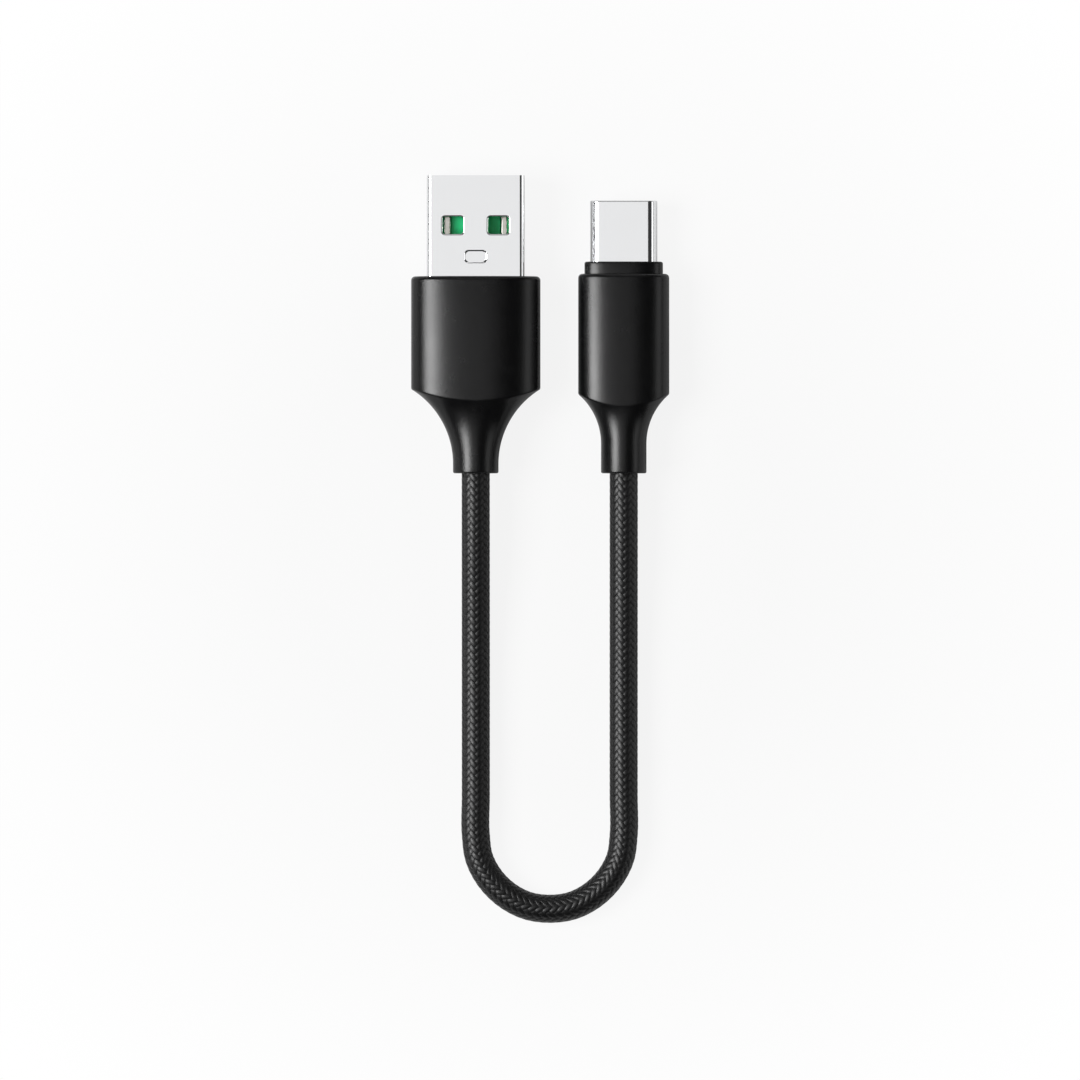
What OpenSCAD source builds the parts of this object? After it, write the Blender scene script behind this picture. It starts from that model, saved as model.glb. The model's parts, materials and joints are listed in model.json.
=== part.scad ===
// Charging cable: a flat host plug and an oval reversible plug on one braided cord.
// Millimetres, +Z up. Both plugs lie flat and point along +Y, and the cord bends round behind them.
// Origin: bottom centre of the box round the two plugs.
// Inside a plug's modules y = 0 is the end that the cord leaves by, and x = z = 0 is the plug's axis.

/* [Cord] */
// Outer diameter of the braided sleeve
cord_d = 3.5; // [3.3:0.1:3.9]
// Wall of the braided sleeve
braid_wall = 0.3; // [0.2:0.05:0.3]
// Wall of the jacket under the sleeve
jacket_wall = 0.3; // [0.2:0.05:0.3]
// Diameter of the two supply wires, over their insulation
power_wire_d = 0.9; // [0.8:0.05:0.95]
// Diameter of the two data wires, over their insulation
data_wire_d = 0.6; // [0.5:0.05:0.65]
// Diameter of a supply wire's copper
power_core_d = 0.5; // [0.4:0.05:0.6]
// Diameter of a data wire's copper
data_core_d = 0.3; // [0.2:0.05:0.35]
// How far the sleeve and jacket run into each plug
cord_in = 9; // [8:0.5:9]
// Straight length of insulated wire before a solder joint
wire_straight_l = 1; // [0.6:0.1:1.2]
// Distance between a wire's insulation and what its copper is soldered to
wire_strip_gap = 0.3; // [0.2:0.05:0.5]

/* [Plug housings] */
// Diameter of both strain-relief necks
neck_d = 5.6; // [5.2:0.1:6]
// How far the crease behind each grip bows back in the middle
crease_bow = 1.4; // [0.8:0.1:1.8]
// Rounding of the housings' front edges
front_round = 0.5; // [0.3:0.1:0.6]
// Length of the crimp rings on the cord
crimp_l = 4; // [3:0.5:4]
// Wall of the crimp rings
crimp_wall = 0.3; // [0.2:0.05:0.4]
// Distance from the neck's end to the crimp ring
crimp_y = 3; // [2:0.5:3.5]
// Clearance between pieces that seat in each other
seat_gap = 0.02; // [0.01:0.01:0.04]

/* [Host plug housing] */
// Width of the host plug's grip
a_body_w = 15.9; // [15.4:0.1:16]
// Thickness of the host plug's grip
a_body_t = 7.8; // [7.4:0.1:8]
// Length of the host plug's grip
a_body_l = 13.85; // [13:0.05:18]
// Radius of the grip's long edges
a_body_r = 3.6; // [3:0.1:3.7]
// Straight length of the host plug's neck
a_neck_l = 1.15; // [1:0.05:2]
// Radius of the arc from the neck to the grip
a_flare_r = 10.8; // [10.2:0.1:11.6]
// Width of the inner mould
a_mould_w = 13.8; // [13.4:0.1:14]
// Thickness of the inner mould
a_mould_t = 6; // [5.6:0.1:6.2]
// Thickness of the housing's front wall
a_lip_l = 1; // [0.6:0.1:1.5]
// Height of the space that holds the wires
a_pocket_t = 3.2; // [2.8:0.1:3.4]

/* [Host plug contacts] */
// Width of the steel shell
a_shell_w = 12; // [11.9:0.1:12.1]
// Thickness of the steel shell
a_shell_t = 4.5; // [4.4:0.1:4.6]
// Sheet thickness of the steel shell
a_shell_wall = 0.3; // [0.25:0.05:0.35]
// Outer corner radius of the steel shell
a_shell_r = 0.6; // [0.45:0.05:0.8]
// Length of shell in front of the housing
a_shell_out = 12.4; // [12:0.1:13]
// Length of shell inside the housing
a_shell_in = 6.4; // [5.5:0.1:7]
// Width of a window in the shell
a_window_w = 2.7; // [2.3:0.1:2.9]
// Length of a window in the shell
a_window_l = 2.3; // [2:0.1:2.5]
// Corner radius of a window
a_window_r = 0.35; // [0.2:0.05:0.5]
// Distance from the plug's axis to a window's centre
a_window_x = 2.8; // [2.6:0.1:3.1]
// Distance from the tip to a window's centre
a_window_y = 6.15; // [5.8:0.05:6.4]
// Width of the pressed dimple
a_dimple_w = 2.85; // [2.4:0.05:3]
// Length of the pressed dimple
a_dimple_l = 1.65; // [1.4:0.05:1.8]
// Corner radius of the pressed dimple
a_dimple_r = 0.55; // [0.3:0.05:0.7]
// Distance from the tip to the dimple's centre
a_dimple_y = 10; // [9.6:0.1:10.2]
// Depth of the pressed dimple
a_dimple_depth = 0.15; // [0.1:0.05:0.2]
// Width of the open seam along the shell's underside
a_seam_w = 0.08; // [0.05:0.01:0.12]
// Thickness of the tongue
a_tongue_t = 1.9; // [1.8:0.05:1.95]
// Distance from the tip back to the tongue's end
a_tongue_back = 0.5; // [0.3:0.1:0.8]
// Distance from the tip back to the full-height block
a_block_back = 8.9; // [8.6:0.1:9]
// How far the block stands out behind the shell
a_block_out = 0.6; // [0.4:0.1:1]
// Width of a contact
a_contact_w = 1; // [0.9:0.05:1.1]
// Thickness of a contact
a_contact_t = 0.25; // [0.2:0.05:0.3]
// How far the contacts stand proud of the tongue
a_contact_proud = 0.05; // [0.02:0.01:0.1]
// Distance from the axis to the supply contacts
a_power_x = 3.5; // [3.4:0.05:3.6]
// Distance from the axis to the data contacts
a_data_x = 1; // [0.9:0.05:1.1]
// Distance from the tip back to the supply contacts
a_power_back = 1.7; // [1.5:0.1:2]
// Distance from the tip back to the data contacts
a_data_back = 2.7; // [2.4:0.1:3]
// Length of the solder tails behind the block
a_tail_l = 2.6; // [2:0.1:3]

/* [Reversible plug housing] */
// Width of the reversible plug's grip
c_body_w = 11.2; // [11:0.1:12]
// Thickness of the reversible plug's grip
c_body_t = 6.5; // [6.2:0.1:6.5]
// Length of the reversible plug's grip
c_body_l = 14.8; // [14.4:0.1:18]
// Radius of the grip's long edges
c_body_r = 2.8; // [2.4:0.1:3]
// Straight length of the reversible plug's neck
c_neck_l = 3.65; // [3.3:0.05:3.9]
// Radius of the arc from the neck to the grip
c_flare_r = 8; // [7.8:0.1:8.6]
// Width of the inner mould
c_mould_w = 10; // [9.8:0.1:10.2]
// Thickness of the inner mould
c_mould_t = 5; // [4.8:0.1:5.2]
// Width of the mould's nose, which shows as the collar
c_nose_w = 9.65; // [9.4:0.05:9.7]
// Thickness of the mould's nose
c_nose_t = 3.9; // [3.6:0.1:4.2]
// Length of the nose in front of the housing
c_nose_l = 1.5; // [1:0.1:2]
// Thickness of the housing's front wall
c_lip_l = 0.8; // [0.6:0.1:1.2]
// Width of the space that holds the wires
c_pocket_w = 6.4; // [6:0.1:6.6]
// Height of the space that holds the wires
c_pocket_t = 3; // [2.6:0.1:3.2]

/* [Reversible plug contacts] */
// Width of the steel shell
c_shell_w = 8.25; // [8.2:0.05:8.35]
// Thickness of the steel shell
c_shell_t = 2.4; // [2.35:0.05:2.5]
// Sheet thickness of the steel shell
c_shell_wall = 0.2; // [0.15:0.05:0.2]
// Length of shell in front of the collar
c_shell_out = 7.5; // [7.3:0.1:8]
// Length of shell inside the plug
c_shell_in = 5; // [4.6:0.1:5.2]
// Width of the slot that takes the mating tongue
c_slot_w = 6.9; // [6.8:0.05:6.95]
// Height of the slot that takes the mating tongue
c_slot_t = 0.9; // [0.85:0.05:1]
// Depth of the slot from the tip
c_slot_l = 6; // [5.8:0.1:6.2]
// Distance from the tip back to the insulator's face
c_face_back = 0.25; // [0.1:0.05:0.4]
// Pitch of the contacts
c_pitch = 0.5; // [0.48:0.01:0.52]
// Width of a contact
c_contact_w = 0.26; // [0.22:0.02:0.3]
// Thickness of a contact
c_contact_t = 0.15; // [0.12:0.01:0.15]
// Distance from the tip back to the contacts' ends
c_contact_back = 1.3; // [1.1:0.1:1.5]
// Length of the contacts' tails on the board
c_tail_l = 2; // [1.6:0.1:2.4]
// Thickness of the latch plate and its arms
c_latch_t = 0.15; // [0.12:0.01:0.15]
// Height of a latch arm
c_arm_h = 0.6; // [0.5:0.05:0.6]
// Length of a latch arm's hook
c_hook_l = 0.4; // [0.3:0.05:0.5]
// Length of a latch arm
c_arm_l = 4.6; // [4.2:0.1:4.6]
// How far a latch arm's hook reaches inwards
c_hook = 0.3; // [0.2:0.05:0.35]
// Width of a grounding spring plate
c_ground_w = 5.6; // [5:0.1:5.6]
// Length of a grounding spring plate
c_ground_l = 2.6; // [2:0.1:3]
// Thickness of a grounding spring plate
c_ground_t = 0.12; // [0.1:0.01:0.15]
// Width of the circuit board
c_board_w = 7.4; // [7:0.1:7.8]
// Length of the circuit board
c_board_l = 7; // [6.6:0.1:7.2]
// Thickness of the circuit board
c_board_t = 0.6; // [0.5:0.05:0.7]
// Distance from the axis to the board's supply pads
c_power_pad_x = 2.4; // [2.2:0.1:2.5]
// Distance from the axis to the board's data pads
c_data_pad_x = 0.8; // [0.7:0.05:0.9]
// Length of bare copper on a pad
c_pad_l = 1.8; // [1.4:0.1:2]
// Length, width and height of the pull-up resistor
c_resistor = [1, 0.5, 0.35];
// Distance from the board's right edge to the resistor
c_resistor_edge = 0.6; // [0.4:0.1:1]
// Width over the rear shield
c_shield_w = 8.9; // [8.7:0.1:9.1]
// Height over the rear shield's two halves
c_shield_t = 3.6; // [3.4:0.1:3.8]
// Sheet thickness of the rear shield
c_shield_wall = 0.15; // [0.1:0.05:0.2]
// Length of the rear shield
c_shield_l = 8.2; // [7.8:0.1:8.4]

/* [Hidden] */
$fn = 48;

// Route of the cord's free stretch. Each point is x, y and rise: 0 on the floor, 1 at the plug's axis.
cord_route = [
  [-7.9, -18.3, 1], [-7.9, -21, 1], [-7.9, -24, 0.95], [-7.9, -28, 0.78], [-7.9, -32, 0.53],
  [-7.9, -36, 0.3], [-7.9, -40, 0.12], [-7.9, -44, 0.03], [-7.9, -48, 0], [-7.9, -53, 0],
  [-7.9, -58, 0], [-7.9, -62.8, 0],
  [-7.5, -65.6, 0], [-6.2, -68.1, 0], [-4.1, -70.2, 0], [-1.6, -71.5, 0],
  [1.2, -71.9, 0],
  [4, -71.5, 0], [6.5, -70.2, 0], [8.6, -68.1, 0], [9.9, -65.6, 0],
  [10.3, -62.8, 0], [10.3, -58, 0],
  [10.3, -53, 0], [10.3, -48, 0], [10.3, -44, 0.03], [10.3, -40, 0.12], [10.3, -36, 0.3],
  [10.3, -32, 0.53], [10.3, -28, 0.78], [10.3, -24, 0.95], [10.3, -21, 1], [10.3, -18.3, 1]
];
cord_sides = 8;
wire_sides = 6;
flare_sides = 40;
flare_steps = 8;
hull_fn = 32;
cut = 0.1;
pocket_r = 0.6;
wire_apart = 0.1;
mould_set_in = 0.1;
board_set_back = 0.4;
plate_set_back = 0.6;
arm_gap = 0.1;
arm_root_gap = 0.2;
arm_slot_room = 0.16;
slot_past_arm = 0.4;

// Where each plug sits: behind it the cord's end, under it the floor.
a_axis_z = a_body_t / 2;
c_axis_z = c_body_t / 2;
a_exit = [cord_route[0].x, cord_route[0].y, a_axis_z];
c_exit = [cord_route[len(cord_route) - 1].x, cord_route[len(cord_route) - 1].y, c_axis_z];

// Cord section.
cord_r = cord_d / 2;
jacket_r = cord_r - braid_wall;
jacket_bore_r = jacket_r - jacket_wall;
power_wire_x = (power_wire_d + wire_apart) / 2;
data_wire_z = jacket_bore_r * cos(180 / cord_sides) - data_wire_d / 2 - wire_apart / 2;

// Crimp rings and the bores they sit in.
cord_bore_r = cord_r + seat_gap;
crimp_bore_r = cord_bore_r + crimp_wall;

// Host plug, along y from the cord's end.
a_flare_l = flare_length(a_flare_r, a_body_w);
a_body_y = a_neck_l + a_flare_l;
a_front_y = a_body_y + a_body_l;
a_tip_y = a_front_y + a_shell_out;
a_shell_y = a_front_y - a_shell_in;
a_mould_y = a_body_y + mould_set_in;
a_mould_end_y = a_front_y - a_lip_l;
a_mould_r = a_body_r - (a_body_t - a_mould_t) / 2;
a_inside_w = a_shell_w - 2 * a_shell_wall;
a_inside_t = a_shell_t - 2 * a_shell_wall;
a_inside_r = a_shell_r - a_shell_wall;
a_tongue_low = seat_gap - a_inside_t / 2;
a_tongue_top = a_tongue_low + a_tongue_t;
a_contact_low = a_tongue_top - a_contact_t + a_contact_proud;
a_contact_top = a_contact_low + a_contact_t;
a_block_y = a_shell_y - a_block_out;
a_tail_y = a_block_y - a_tail_l;
a_pocket_w = 2 * a_power_x + 2 * power_wire_d + pocket_r;

// Reversible plug, along y from the cord's end.
c_flare_l = flare_length(c_flare_r, c_body_w);
c_body_y = c_neck_l + c_flare_l;
c_front_y = c_body_y + c_body_l;
c_nose_y = c_front_y + c_nose_l;
c_tip_y = c_nose_y + c_shell_out;
c_shell_y = c_nose_y - c_shell_in;
c_mould_y = c_body_y + mould_set_in;
c_mould_end_y = c_front_y - c_lip_l;
c_mould_r = c_body_r - (c_body_t - c_mould_t) / 2;
c_inside_w = c_shell_w - 2 * c_shell_wall;
c_inside_t = c_shell_t - 2 * c_shell_wall;
c_insulator_w = c_inside_w - 2 * seat_gap;
c_insulator_t = c_inside_t - 2 * seat_gap;
c_face_y = c_tip_y - c_face_back;
c_slot_y = c_tip_y - c_slot_l;
c_contact_z = c_board_t / 2;
c_contact_end_y = c_tip_y - c_contact_back;
c_board_end_y = c_shell_y - board_set_back;
c_board_y = c_board_end_y - c_board_l;
c_shield_y = c_shell_y - c_shield_l;
c_latch_plate_w = c_slot_w + 2 * c_latch_t;
upper_places = [-5.5, -2.5, -1.5, -0.5, 0.5, 2.5, 5.5];
lower_places = [-5.5, -2.5, 2.5, 5.5];

// Latch arms stand in side slots of the insulator, each hinged at its rear end.
c_arm_x = c_slot_w / 2 + arm_gap;
c_arm_y = c_slot_y + arm_root_gap;
c_arm_slot_h = c_arm_h + arm_slot_room;
c_arm_slot_end_y = c_arm_y + c_arm_l + slot_past_arm;

// Length of an arc of radius r that starts along the neck and reaches half the body's width.
function flare_length(r, body_w) = sqrt(r * r - pow(r - (body_w - neck_d) / 2, 2));

// Share of the way from the neck to the body that the same arc has gone at length s.
function flare_share(s, r, body_w) = (r - sqrt(r * r - s * s)) / ((body_w - neck_d) / 2);

// Distance from the centre to a rounded rectangle's outline in direction a, in its first quarter.
function quarter_reach(a, w, t, r) =
  let (corner = [w / 2 - r, t / 2 - r], on_side = (w / 2) * tan(a), on_top = (t / 2) / tan(a))
  on_side <= corner.y ? (w / 2) / cos(a)
  : on_top <= corner.x ? (t / 2) / sin(a)
  : let (along = corner.x * cos(a) + corner.y * sin(a), across = corner.x * sin(a) - corner.y * cos(a))
    along + sqrt(r * r - across * across);

// The same for any direction, folded into the first quarter.
function fold(a) = let (b = a % 180) max(0.001, b > 90 ? 180 - b : b);
function reach(a, w, t, r) = quarter_reach(fold(a), w, t, r);

// Points of the trumpet between neck and body at step s along the arc, bowed by the crease.
function flare_ring(s, w, t, r, neck_l, flare_r, flare_l) = [
  for (k = [0 : flare_sides - 1])
    let (
      a = 360 * k / flare_sides,
      body = reach(a, w, t, r) * [cos(a), sin(a)],
      neck = neck_d / 2 * [cos(a), sin(a)],
      share = flare_share(s, flare_r, w),
      bow = crease_bow * (1 - pow(2 * body.x / w, 2)),
      p = neck + share * (body - neck)
    )
    [p.x, neck_l + (flare_l - bow) * s / flare_l, p.y]
];

// Side faces of a skin whose rings hold n points each, outwards when the rings run along the path.
function skin_faces(rings, n, start = 0, flip = false) = [
  for (i = [0 : rings - 2], k = [0 : n - 1])
    let (a = start + i * n + k, b = start + i * n + (k + 1) % n)
    each flip ? [[a, b + n, b], [a, a + n, b + n]] : [[a, b, b + n], [a, b + n, a + n]]
];

// Fan of triangles over one ring of n points.
function cap_faces(n, start, flip = false) = [
  for (k = [1 : n - 2])
    flip ? [start, start + k + 1, start + k] : [start, start + k, start + k + 1]
];

// Flat band of triangles between an outer and an inner ring of n points.
function band_faces(n, outer, inner, flip = false) = [
  for (k = [0 : n - 1])
    let (a = outer + k, b = outer + (k + 1) % n, c = inner + k, d = inner + (k + 1) % n)
    each flip ? [[a, c, d], [a, d, b]] : [[a, d, c], [a, b, d]]
];

// Directions along a path: forwards, to its right and upwards.
function forwards(path, i) =
  let (v = path[min(i + 1, len(path) - 1)] - path[max(i - 1, 0)]) v / norm(v);
function rightwards(path, i) = let (v = cross(forwards(path, i), [0, 0, 1])) v / norm(v);
function upwards(path, i) = cross(rightwards(path, i), forwards(path, i));
function tube_ring(path, i, r, n) = [
  for (k = [0 : n - 1])
    let (a = 360 * (k + 0.5) / n)
    path[i] + r * cos(a) * rightwards(path, i) + r * sin(a) * upwards(path, i)
];
function tube_points(path, r, n) = [for (i = [0 : len(path) - 1]) each tube_ring(path, i, r, n)];

// Centreline of the cord from inside one plug to inside the other.
function raised(p) = [p.x, p.y, cord_r + p.z * ((p.x < 0 ? a_axis_z : c_axis_z) - cord_r)];
cord_path = concat(
  [a_exit + [0, cord_in, 0]], [for (p = cord_route) raised(p)], [c_exit + [0, cord_in, 0]]
);

// Centreline of a wire that keeps its place in the cord and fans out to its two ends.
function wire_path(place, a_ends, c_ends) = concat(
  a_ends,
  [for (i = [0 : len(cord_path) - 1])
    cord_path[i] + place.x * rightwards(cord_path, i) + place.y * upwards(cord_path, i)],
  c_ends
);
function all_but_ends(path) = [for (i = [1 : len(path) - 2]) path[i]];
function host_ends(x, core_d) =
  let (strip_y = a_tail_y - wire_strip_gap, z = a_contact_top + seat_gap + core_d / 2)
  [for (y = [a_block_y - wire_strip_gap, strip_y, strip_y - wire_straight_l]) a_exit + [x, y, z]];
function reversible_ends(x, core_d) =
  let (strip_y = c_board_y - wire_strip_gap, z = c_board_t / 2 + seat_gap + core_d / 2)
  [for (y = [strip_y - wire_straight_l, strip_y, c_board_y + c_pad_l]) c_exit + [x, y, z]];
function wire_route(place, a_x, c_x, core_d) =
  wire_path(place, host_ends(a_x, core_d), reversible_ends(c_x, core_d));
red_path = wire_route([power_wire_x, 0], -a_power_x, c_power_pad_x, power_core_d);
black_path = wire_route([-power_wire_x, 0], a_power_x, -c_power_pad_x, power_core_d);
white_path = wire_route([0, data_wire_z], -a_data_x, c_data_pad_x, data_core_d);
green_path = wire_route([0, -data_wire_z], a_data_x, -c_data_pad_x, data_core_d);

module at_host() {
  translate(a_exit) children();
}

module at_reversible() {
  translate(c_exit) children();
}

// Extrudes a section drawn in x and z along y.
module along_y(from, to) {
  translate([0, to, 0]) rotate([90, 0, 0]) linear_extrude(to - from) children();
}

// Rounded rectangle made of true arcs.
module rounded(w, t, r) {
  square([w - 2 * r, t], center = true);
  if (t - 2 * r > 0.001) square([w, t - 2 * r], center = true);
  for (sx = [-1, 1], sy = [-1, 1]) translate([sx * (w / 2 - r), sy * (t / 2 - r)]) circle(r);
}

// Oval with full round ends.
module oval(w, t) {
  square([w - t, t], center = true);
  for (sx = [-1, 1]) translate([sx * (w - t) / 2, 0]) circle(t / 2);
}

module box(low, high) {
  translate(low) cube(high - low);
}

module tube(path, r, n) {
  rings = len(path);
  polyhedron(
    tube_points(path, r, n),
    concat(skin_faces(rings, n), cap_faces(n, 0, true), cap_faces(n, (rings - 1) * n))
  );
}

module hollow_tube(path, r, bore_r, n) {
  rings = len(path);
  last = (rings - 1) * n;
  inner = rings * n;
  polyhedron(
    concat(tube_points(path, r, n), tube_points(path, bore_r, n)),
    concat(
      skin_faces(rings, n), skin_faces(rings, n, inner, true),
      band_faces(n, 0, inner, true), band_faces(n, last, inner + last)
    )
  );
}

// Closed skin that follows the neck and the flare, then opens out past the body.
module flare_skin(w, t, r, neck_l, flare_r, flare_l, front_y) {
  past_l = flare_l * 1.1;
  steps = [for (i = [0 : flare_steps]) past_l * i / flare_steps];
  start = flare_ring(0, w, t, r, neck_l, flare_r, flare_l);
  past = flare_ring(past_l, w, t, r, neck_l, flare_r, flare_l);
  points = concat(
    [for (p = start) [p.x, 0, p.z]],
    [for (s = steps) each flare_ring(s, w, t, r, neck_l, flare_r, flare_l)],
    [for (p = past) [p.x, front_y + cut, p.z]]
  );
  rings = flare_steps + 3;
  polyhedron(points, concat(
    skin_faces(rings, flare_sides),
    cap_faces(flare_sides, 0, true),
    cap_faces(flare_sides, (rings - 1) * flare_sides)
  ));
}

// Outside of a grip: a straight body, a bowed crease, the flare and the neck.
module grip(w, t, r, neck_l, flare_r, flare_l, front_y) {
  straight_y = front_y - front_round;
  shoulder = front_round * (1 - cos(45));
  intersection() {
    along_y(0, straight_y) rounded(w, t, r);
    flare_skin(w, t, r, neck_l, flare_r, flare_l, front_y);
  }
  front_step(w, t, r, straight_y, 0, front_y - shoulder, shoulder);
  front_step(w, t, r, front_y - shoulder, shoulder, front_y, front_round);
}

// One tapering step of the front edge's rounding.
module front_step(w, t, r, y0, inset0, y1, inset1) {
  thin = 0.01;
  hull() {
    along_y(y0 - thin, y0) rounded(w - 2 * inset0, t - 2 * inset0, r - inset0, $fn = hull_fn);
    along_y(y1 - thin, y1) rounded(w - 2 * inset1, t - 2 * inset1, r - inset1, $fn = hull_fn);
  }
}

// Bore for the cord, widened where the crimp ring sits.
module cord_bore() {
  along_y(-cut, cord_in + cut) circle(cord_bore_r);
  along_y(crimp_y - seat_gap, crimp_y + crimp_l + seat_gap) circle(crimp_bore_r + seat_gap);
}

module crimp_ring() {
  color("silver") along_y(crimp_y, crimp_y + crimp_l) difference() {
    circle(crimp_bore_r);
    circle(cord_bore_r);
  }
}

module host_housing() {
  g = 2 * seat_gap;
  color([0.13, 0.13, 0.14]) at_host() difference() {
    grip(a_body_w, a_body_t, a_body_r, a_neck_l, a_flare_r, a_flare_l, a_front_y);
    cord_bore();
    along_y(cord_in, a_mould_y) rounded(a_pocket_w, a_pocket_t, pocket_r);
    along_y(a_mould_y - seat_gap, a_mould_end_y + seat_gap)
      rounded(a_mould_w + g, a_mould_t + g, a_mould_r + seat_gap);
    along_y(a_front_y - a_lip_l - cut, a_front_y + cut)
      rounded(a_shell_w + g, a_shell_t + g, a_shell_r + seat_gap);
  }
}

module host_inner_mould() {
  g = 2 * seat_gap;
  color([0.92, 0.92, 0.88]) at_host() difference() {
    along_y(a_mould_y, a_mould_end_y) rounded(a_mould_w, a_mould_t, a_mould_r);
    along_y(a_mould_y - cut, a_shell_y) rounded(a_pocket_w, a_pocket_t, pocket_r);
    along_y(a_block_y - seat_gap, a_shell_y + cut) square([a_inside_w, a_inside_t], center = true);
    along_y(a_shell_y - seat_gap, a_mould_end_y + cut)
      rounded(a_shell_w + g, a_shell_t + g, a_shell_r + seat_gap);
  }
}

module host_shell() {
  color([0.86, 0.87, 0.89]) at_host() difference() {
    along_y(a_shell_y, a_tip_y) rounded(a_shell_w, a_shell_t, a_shell_r);
    along_y(a_shell_y - cut, a_tip_y + cut) rounded(a_inside_w, a_inside_t, a_inside_r);
    for (sx = [-1, 1])
      translate([sx * a_window_x, a_tip_y - a_window_y, -a_shell_t]) linear_extrude(2 * a_shell_t)
        rounded(a_window_w, a_window_l, a_window_r);
    for (sz = [-1, 1])
      translate([0, a_tip_y - a_dimple_y, sz * a_shell_t / 2 - a_dimple_depth])
        linear_extrude(2 * a_dimple_depth) rounded(a_dimple_w, a_dimple_l, a_dimple_r);
    box([-a_seam_w / 2, a_shell_y - cut, -a_shell_t], [a_seam_w / 2, a_tip_y + cut, 0]);
  }
}

module host_insulator() {
  w = a_inside_w - 2 * seat_gap;
  t = a_inside_t - 2 * seat_gap;
  color([0.16, 0.62, 0.4]) at_host() difference() {
    along_y(a_block_y, a_tip_y - a_tongue_back) rounded(w, t, a_inside_r);
    box([-w, a_tip_y - a_block_back, a_tongue_top], [w, a_tip_y, t]);
    for (x = [-a_power_x, a_power_x]) host_groove(x, a_power_back);
    for (x = [-a_data_x, a_data_x]) host_groove(x, a_data_back);
  }
}

// Groove that holds one contact, open at the top of the tongue.
module host_groove(x, back) {
  side = a_contact_w / 2 + seat_gap;
  end_y = a_tip_y - back + seat_gap;
  box([x - side, a_block_y - cut, a_contact_low - seat_gap], [x + side, end_y, a_contact_top + seat_gap]);
}

module host_contact(x, back) {
  color([0.85, 0.68, 0.32]) at_host()
    box([x - a_contact_w / 2, a_tail_y, a_contact_low], [x + a_contact_w / 2, a_tip_y - back, a_contact_top]);
}

module host_supply_contact() {
  host_contact(-a_power_x, a_power_back);
}

module host_data_minus_contact() {
  host_contact(-a_data_x, a_data_back);
}

module host_data_plus_contact() {
  host_contact(a_data_x, a_data_back);
}

module host_ground_contact() {
  host_contact(a_power_x, a_power_back);
}

module host_crimp_ring() {
  at_host() crimp_ring();
}

module reversible_housing() {
  g = 2 * seat_gap;
  color([0.13, 0.13, 0.14]) at_reversible() difference() {
    grip(c_body_w, c_body_t, c_body_r, c_neck_l, c_flare_r, c_flare_l, c_front_y);
    cord_bore();
    along_y(cord_in, c_mould_y) rounded(c_pocket_w, c_pocket_t, pocket_r);
    along_y(c_mould_y - seat_gap, c_mould_end_y + seat_gap)
      rounded(c_mould_w + g, c_mould_t + g, c_mould_r + seat_gap);
    along_y(c_mould_end_y - cut, c_front_y + cut) oval(c_nose_w + g, c_nose_t + g);
  }
}

module reversible_inner_mould() {
  g = 2 * seat_gap;
  color([0.15, 0.15, 0.16]) at_reversible() difference() {
    union() {
      along_y(c_mould_y, c_mould_end_y) rounded(c_mould_w, c_mould_t, c_mould_r);
      along_y(c_mould_end_y - cut, c_nose_y) oval(c_nose_w, c_nose_t);
    }
    along_y(c_mould_y - cut, c_shield_y) rounded(c_pocket_w, c_pocket_t, pocket_r);
    along_y(c_shield_y - seat_gap, c_shell_y) square([c_shield_w + g, c_shield_t + g], center = true);
    along_y(c_shell_y - cut, c_nose_y + cut) oval(c_shell_w + g, c_shell_t + g);
  }
}

module reversible_shell() {
  color([0.86, 0.87, 0.89]) at_reversible() difference() {
    along_y(c_shell_y, c_tip_y) oval(c_shell_w, c_shell_t);
    along_y(c_shell_y - cut, c_tip_y + cut) oval(c_inside_w, c_inside_t);
  }
}

module reversible_insulator() {
  arm_slot_z = c_arm_slot_h / 2;
  plate_slot_z = c_latch_t / 2 + seat_gap;
  plate_slot_x = c_latch_plate_w / 2 + seat_gap;
  color([0.1, 0.1, 0.1]) at_reversible() difference() {
    along_y(c_shell_y, c_face_y) oval(c_insulator_w, c_insulator_t);
    along_y(c_slot_y, c_face_y + cut) square([c_slot_w, c_slot_t], center = true);
    box([-c_shell_w / 2, c_slot_y, -arm_slot_z], [c_shell_w / 2, c_arm_slot_end_y, arm_slot_z]);
    box([-plate_slot_x, c_shell_y - cut, -plate_slot_z], [plate_slot_x, c_slot_y + cut, plate_slot_z]);
    for (place = upper_places) contact_channel(place * c_pitch, c_contact_z);
    for (place = lower_places) contact_channel(place * c_pitch, -c_contact_z - c_contact_t);
    for (side = [-1, 1]) ground_spring_pocket(side);
  }
}

// Channel through the insulator's rear block for one contact.
module contact_channel(x, z) {
  side = c_contact_w / 2 + seat_gap;
  box([x - side, c_shell_y - cut, z - seat_gap], [x + side, c_slot_y + cut, z + c_contact_t + seat_gap]);
}

module ground_spring_pocket(side) {
  half_w = c_ground_w / 2 + seat_gap;
  inner_z = c_insulator_t / 2 - c_ground_t - seat_gap;
  y1 = c_arm_slot_end_y + seat_gap;
  y0 = y1 - c_ground_l - 2 * seat_gap;
  z = side > 0 ? [inner_z, c_insulator_t] : [-c_insulator_t, -inner_z];
  box([-half_w, y0, z[0]], [half_w, y1, z[1]]);
}

module contact_row(places, z) {
  y0 = c_board_end_y - c_tail_l;
  color([0.87, 0.7, 0.35]) at_reversible() for (place = places)
    translate([place * c_pitch - c_contact_w / 2, y0, z])
      cube([c_contact_w, c_contact_end_y - y0, c_contact_t]);
}

module upper_contacts() {
  contact_row(upper_places, c_contact_z);
}

module lower_contacts() {
  contact_row(lower_places, -c_contact_z - c_contact_t);
}

module latch_plate() {
  half_w = c_latch_plate_w / 2;
  color([0.75, 0.76, 0.78]) at_reversible()
    box([-half_w, c_shell_y + plate_set_back, -c_latch_t / 2], [half_w, c_slot_y, c_latch_t / 2]);
}

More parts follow.
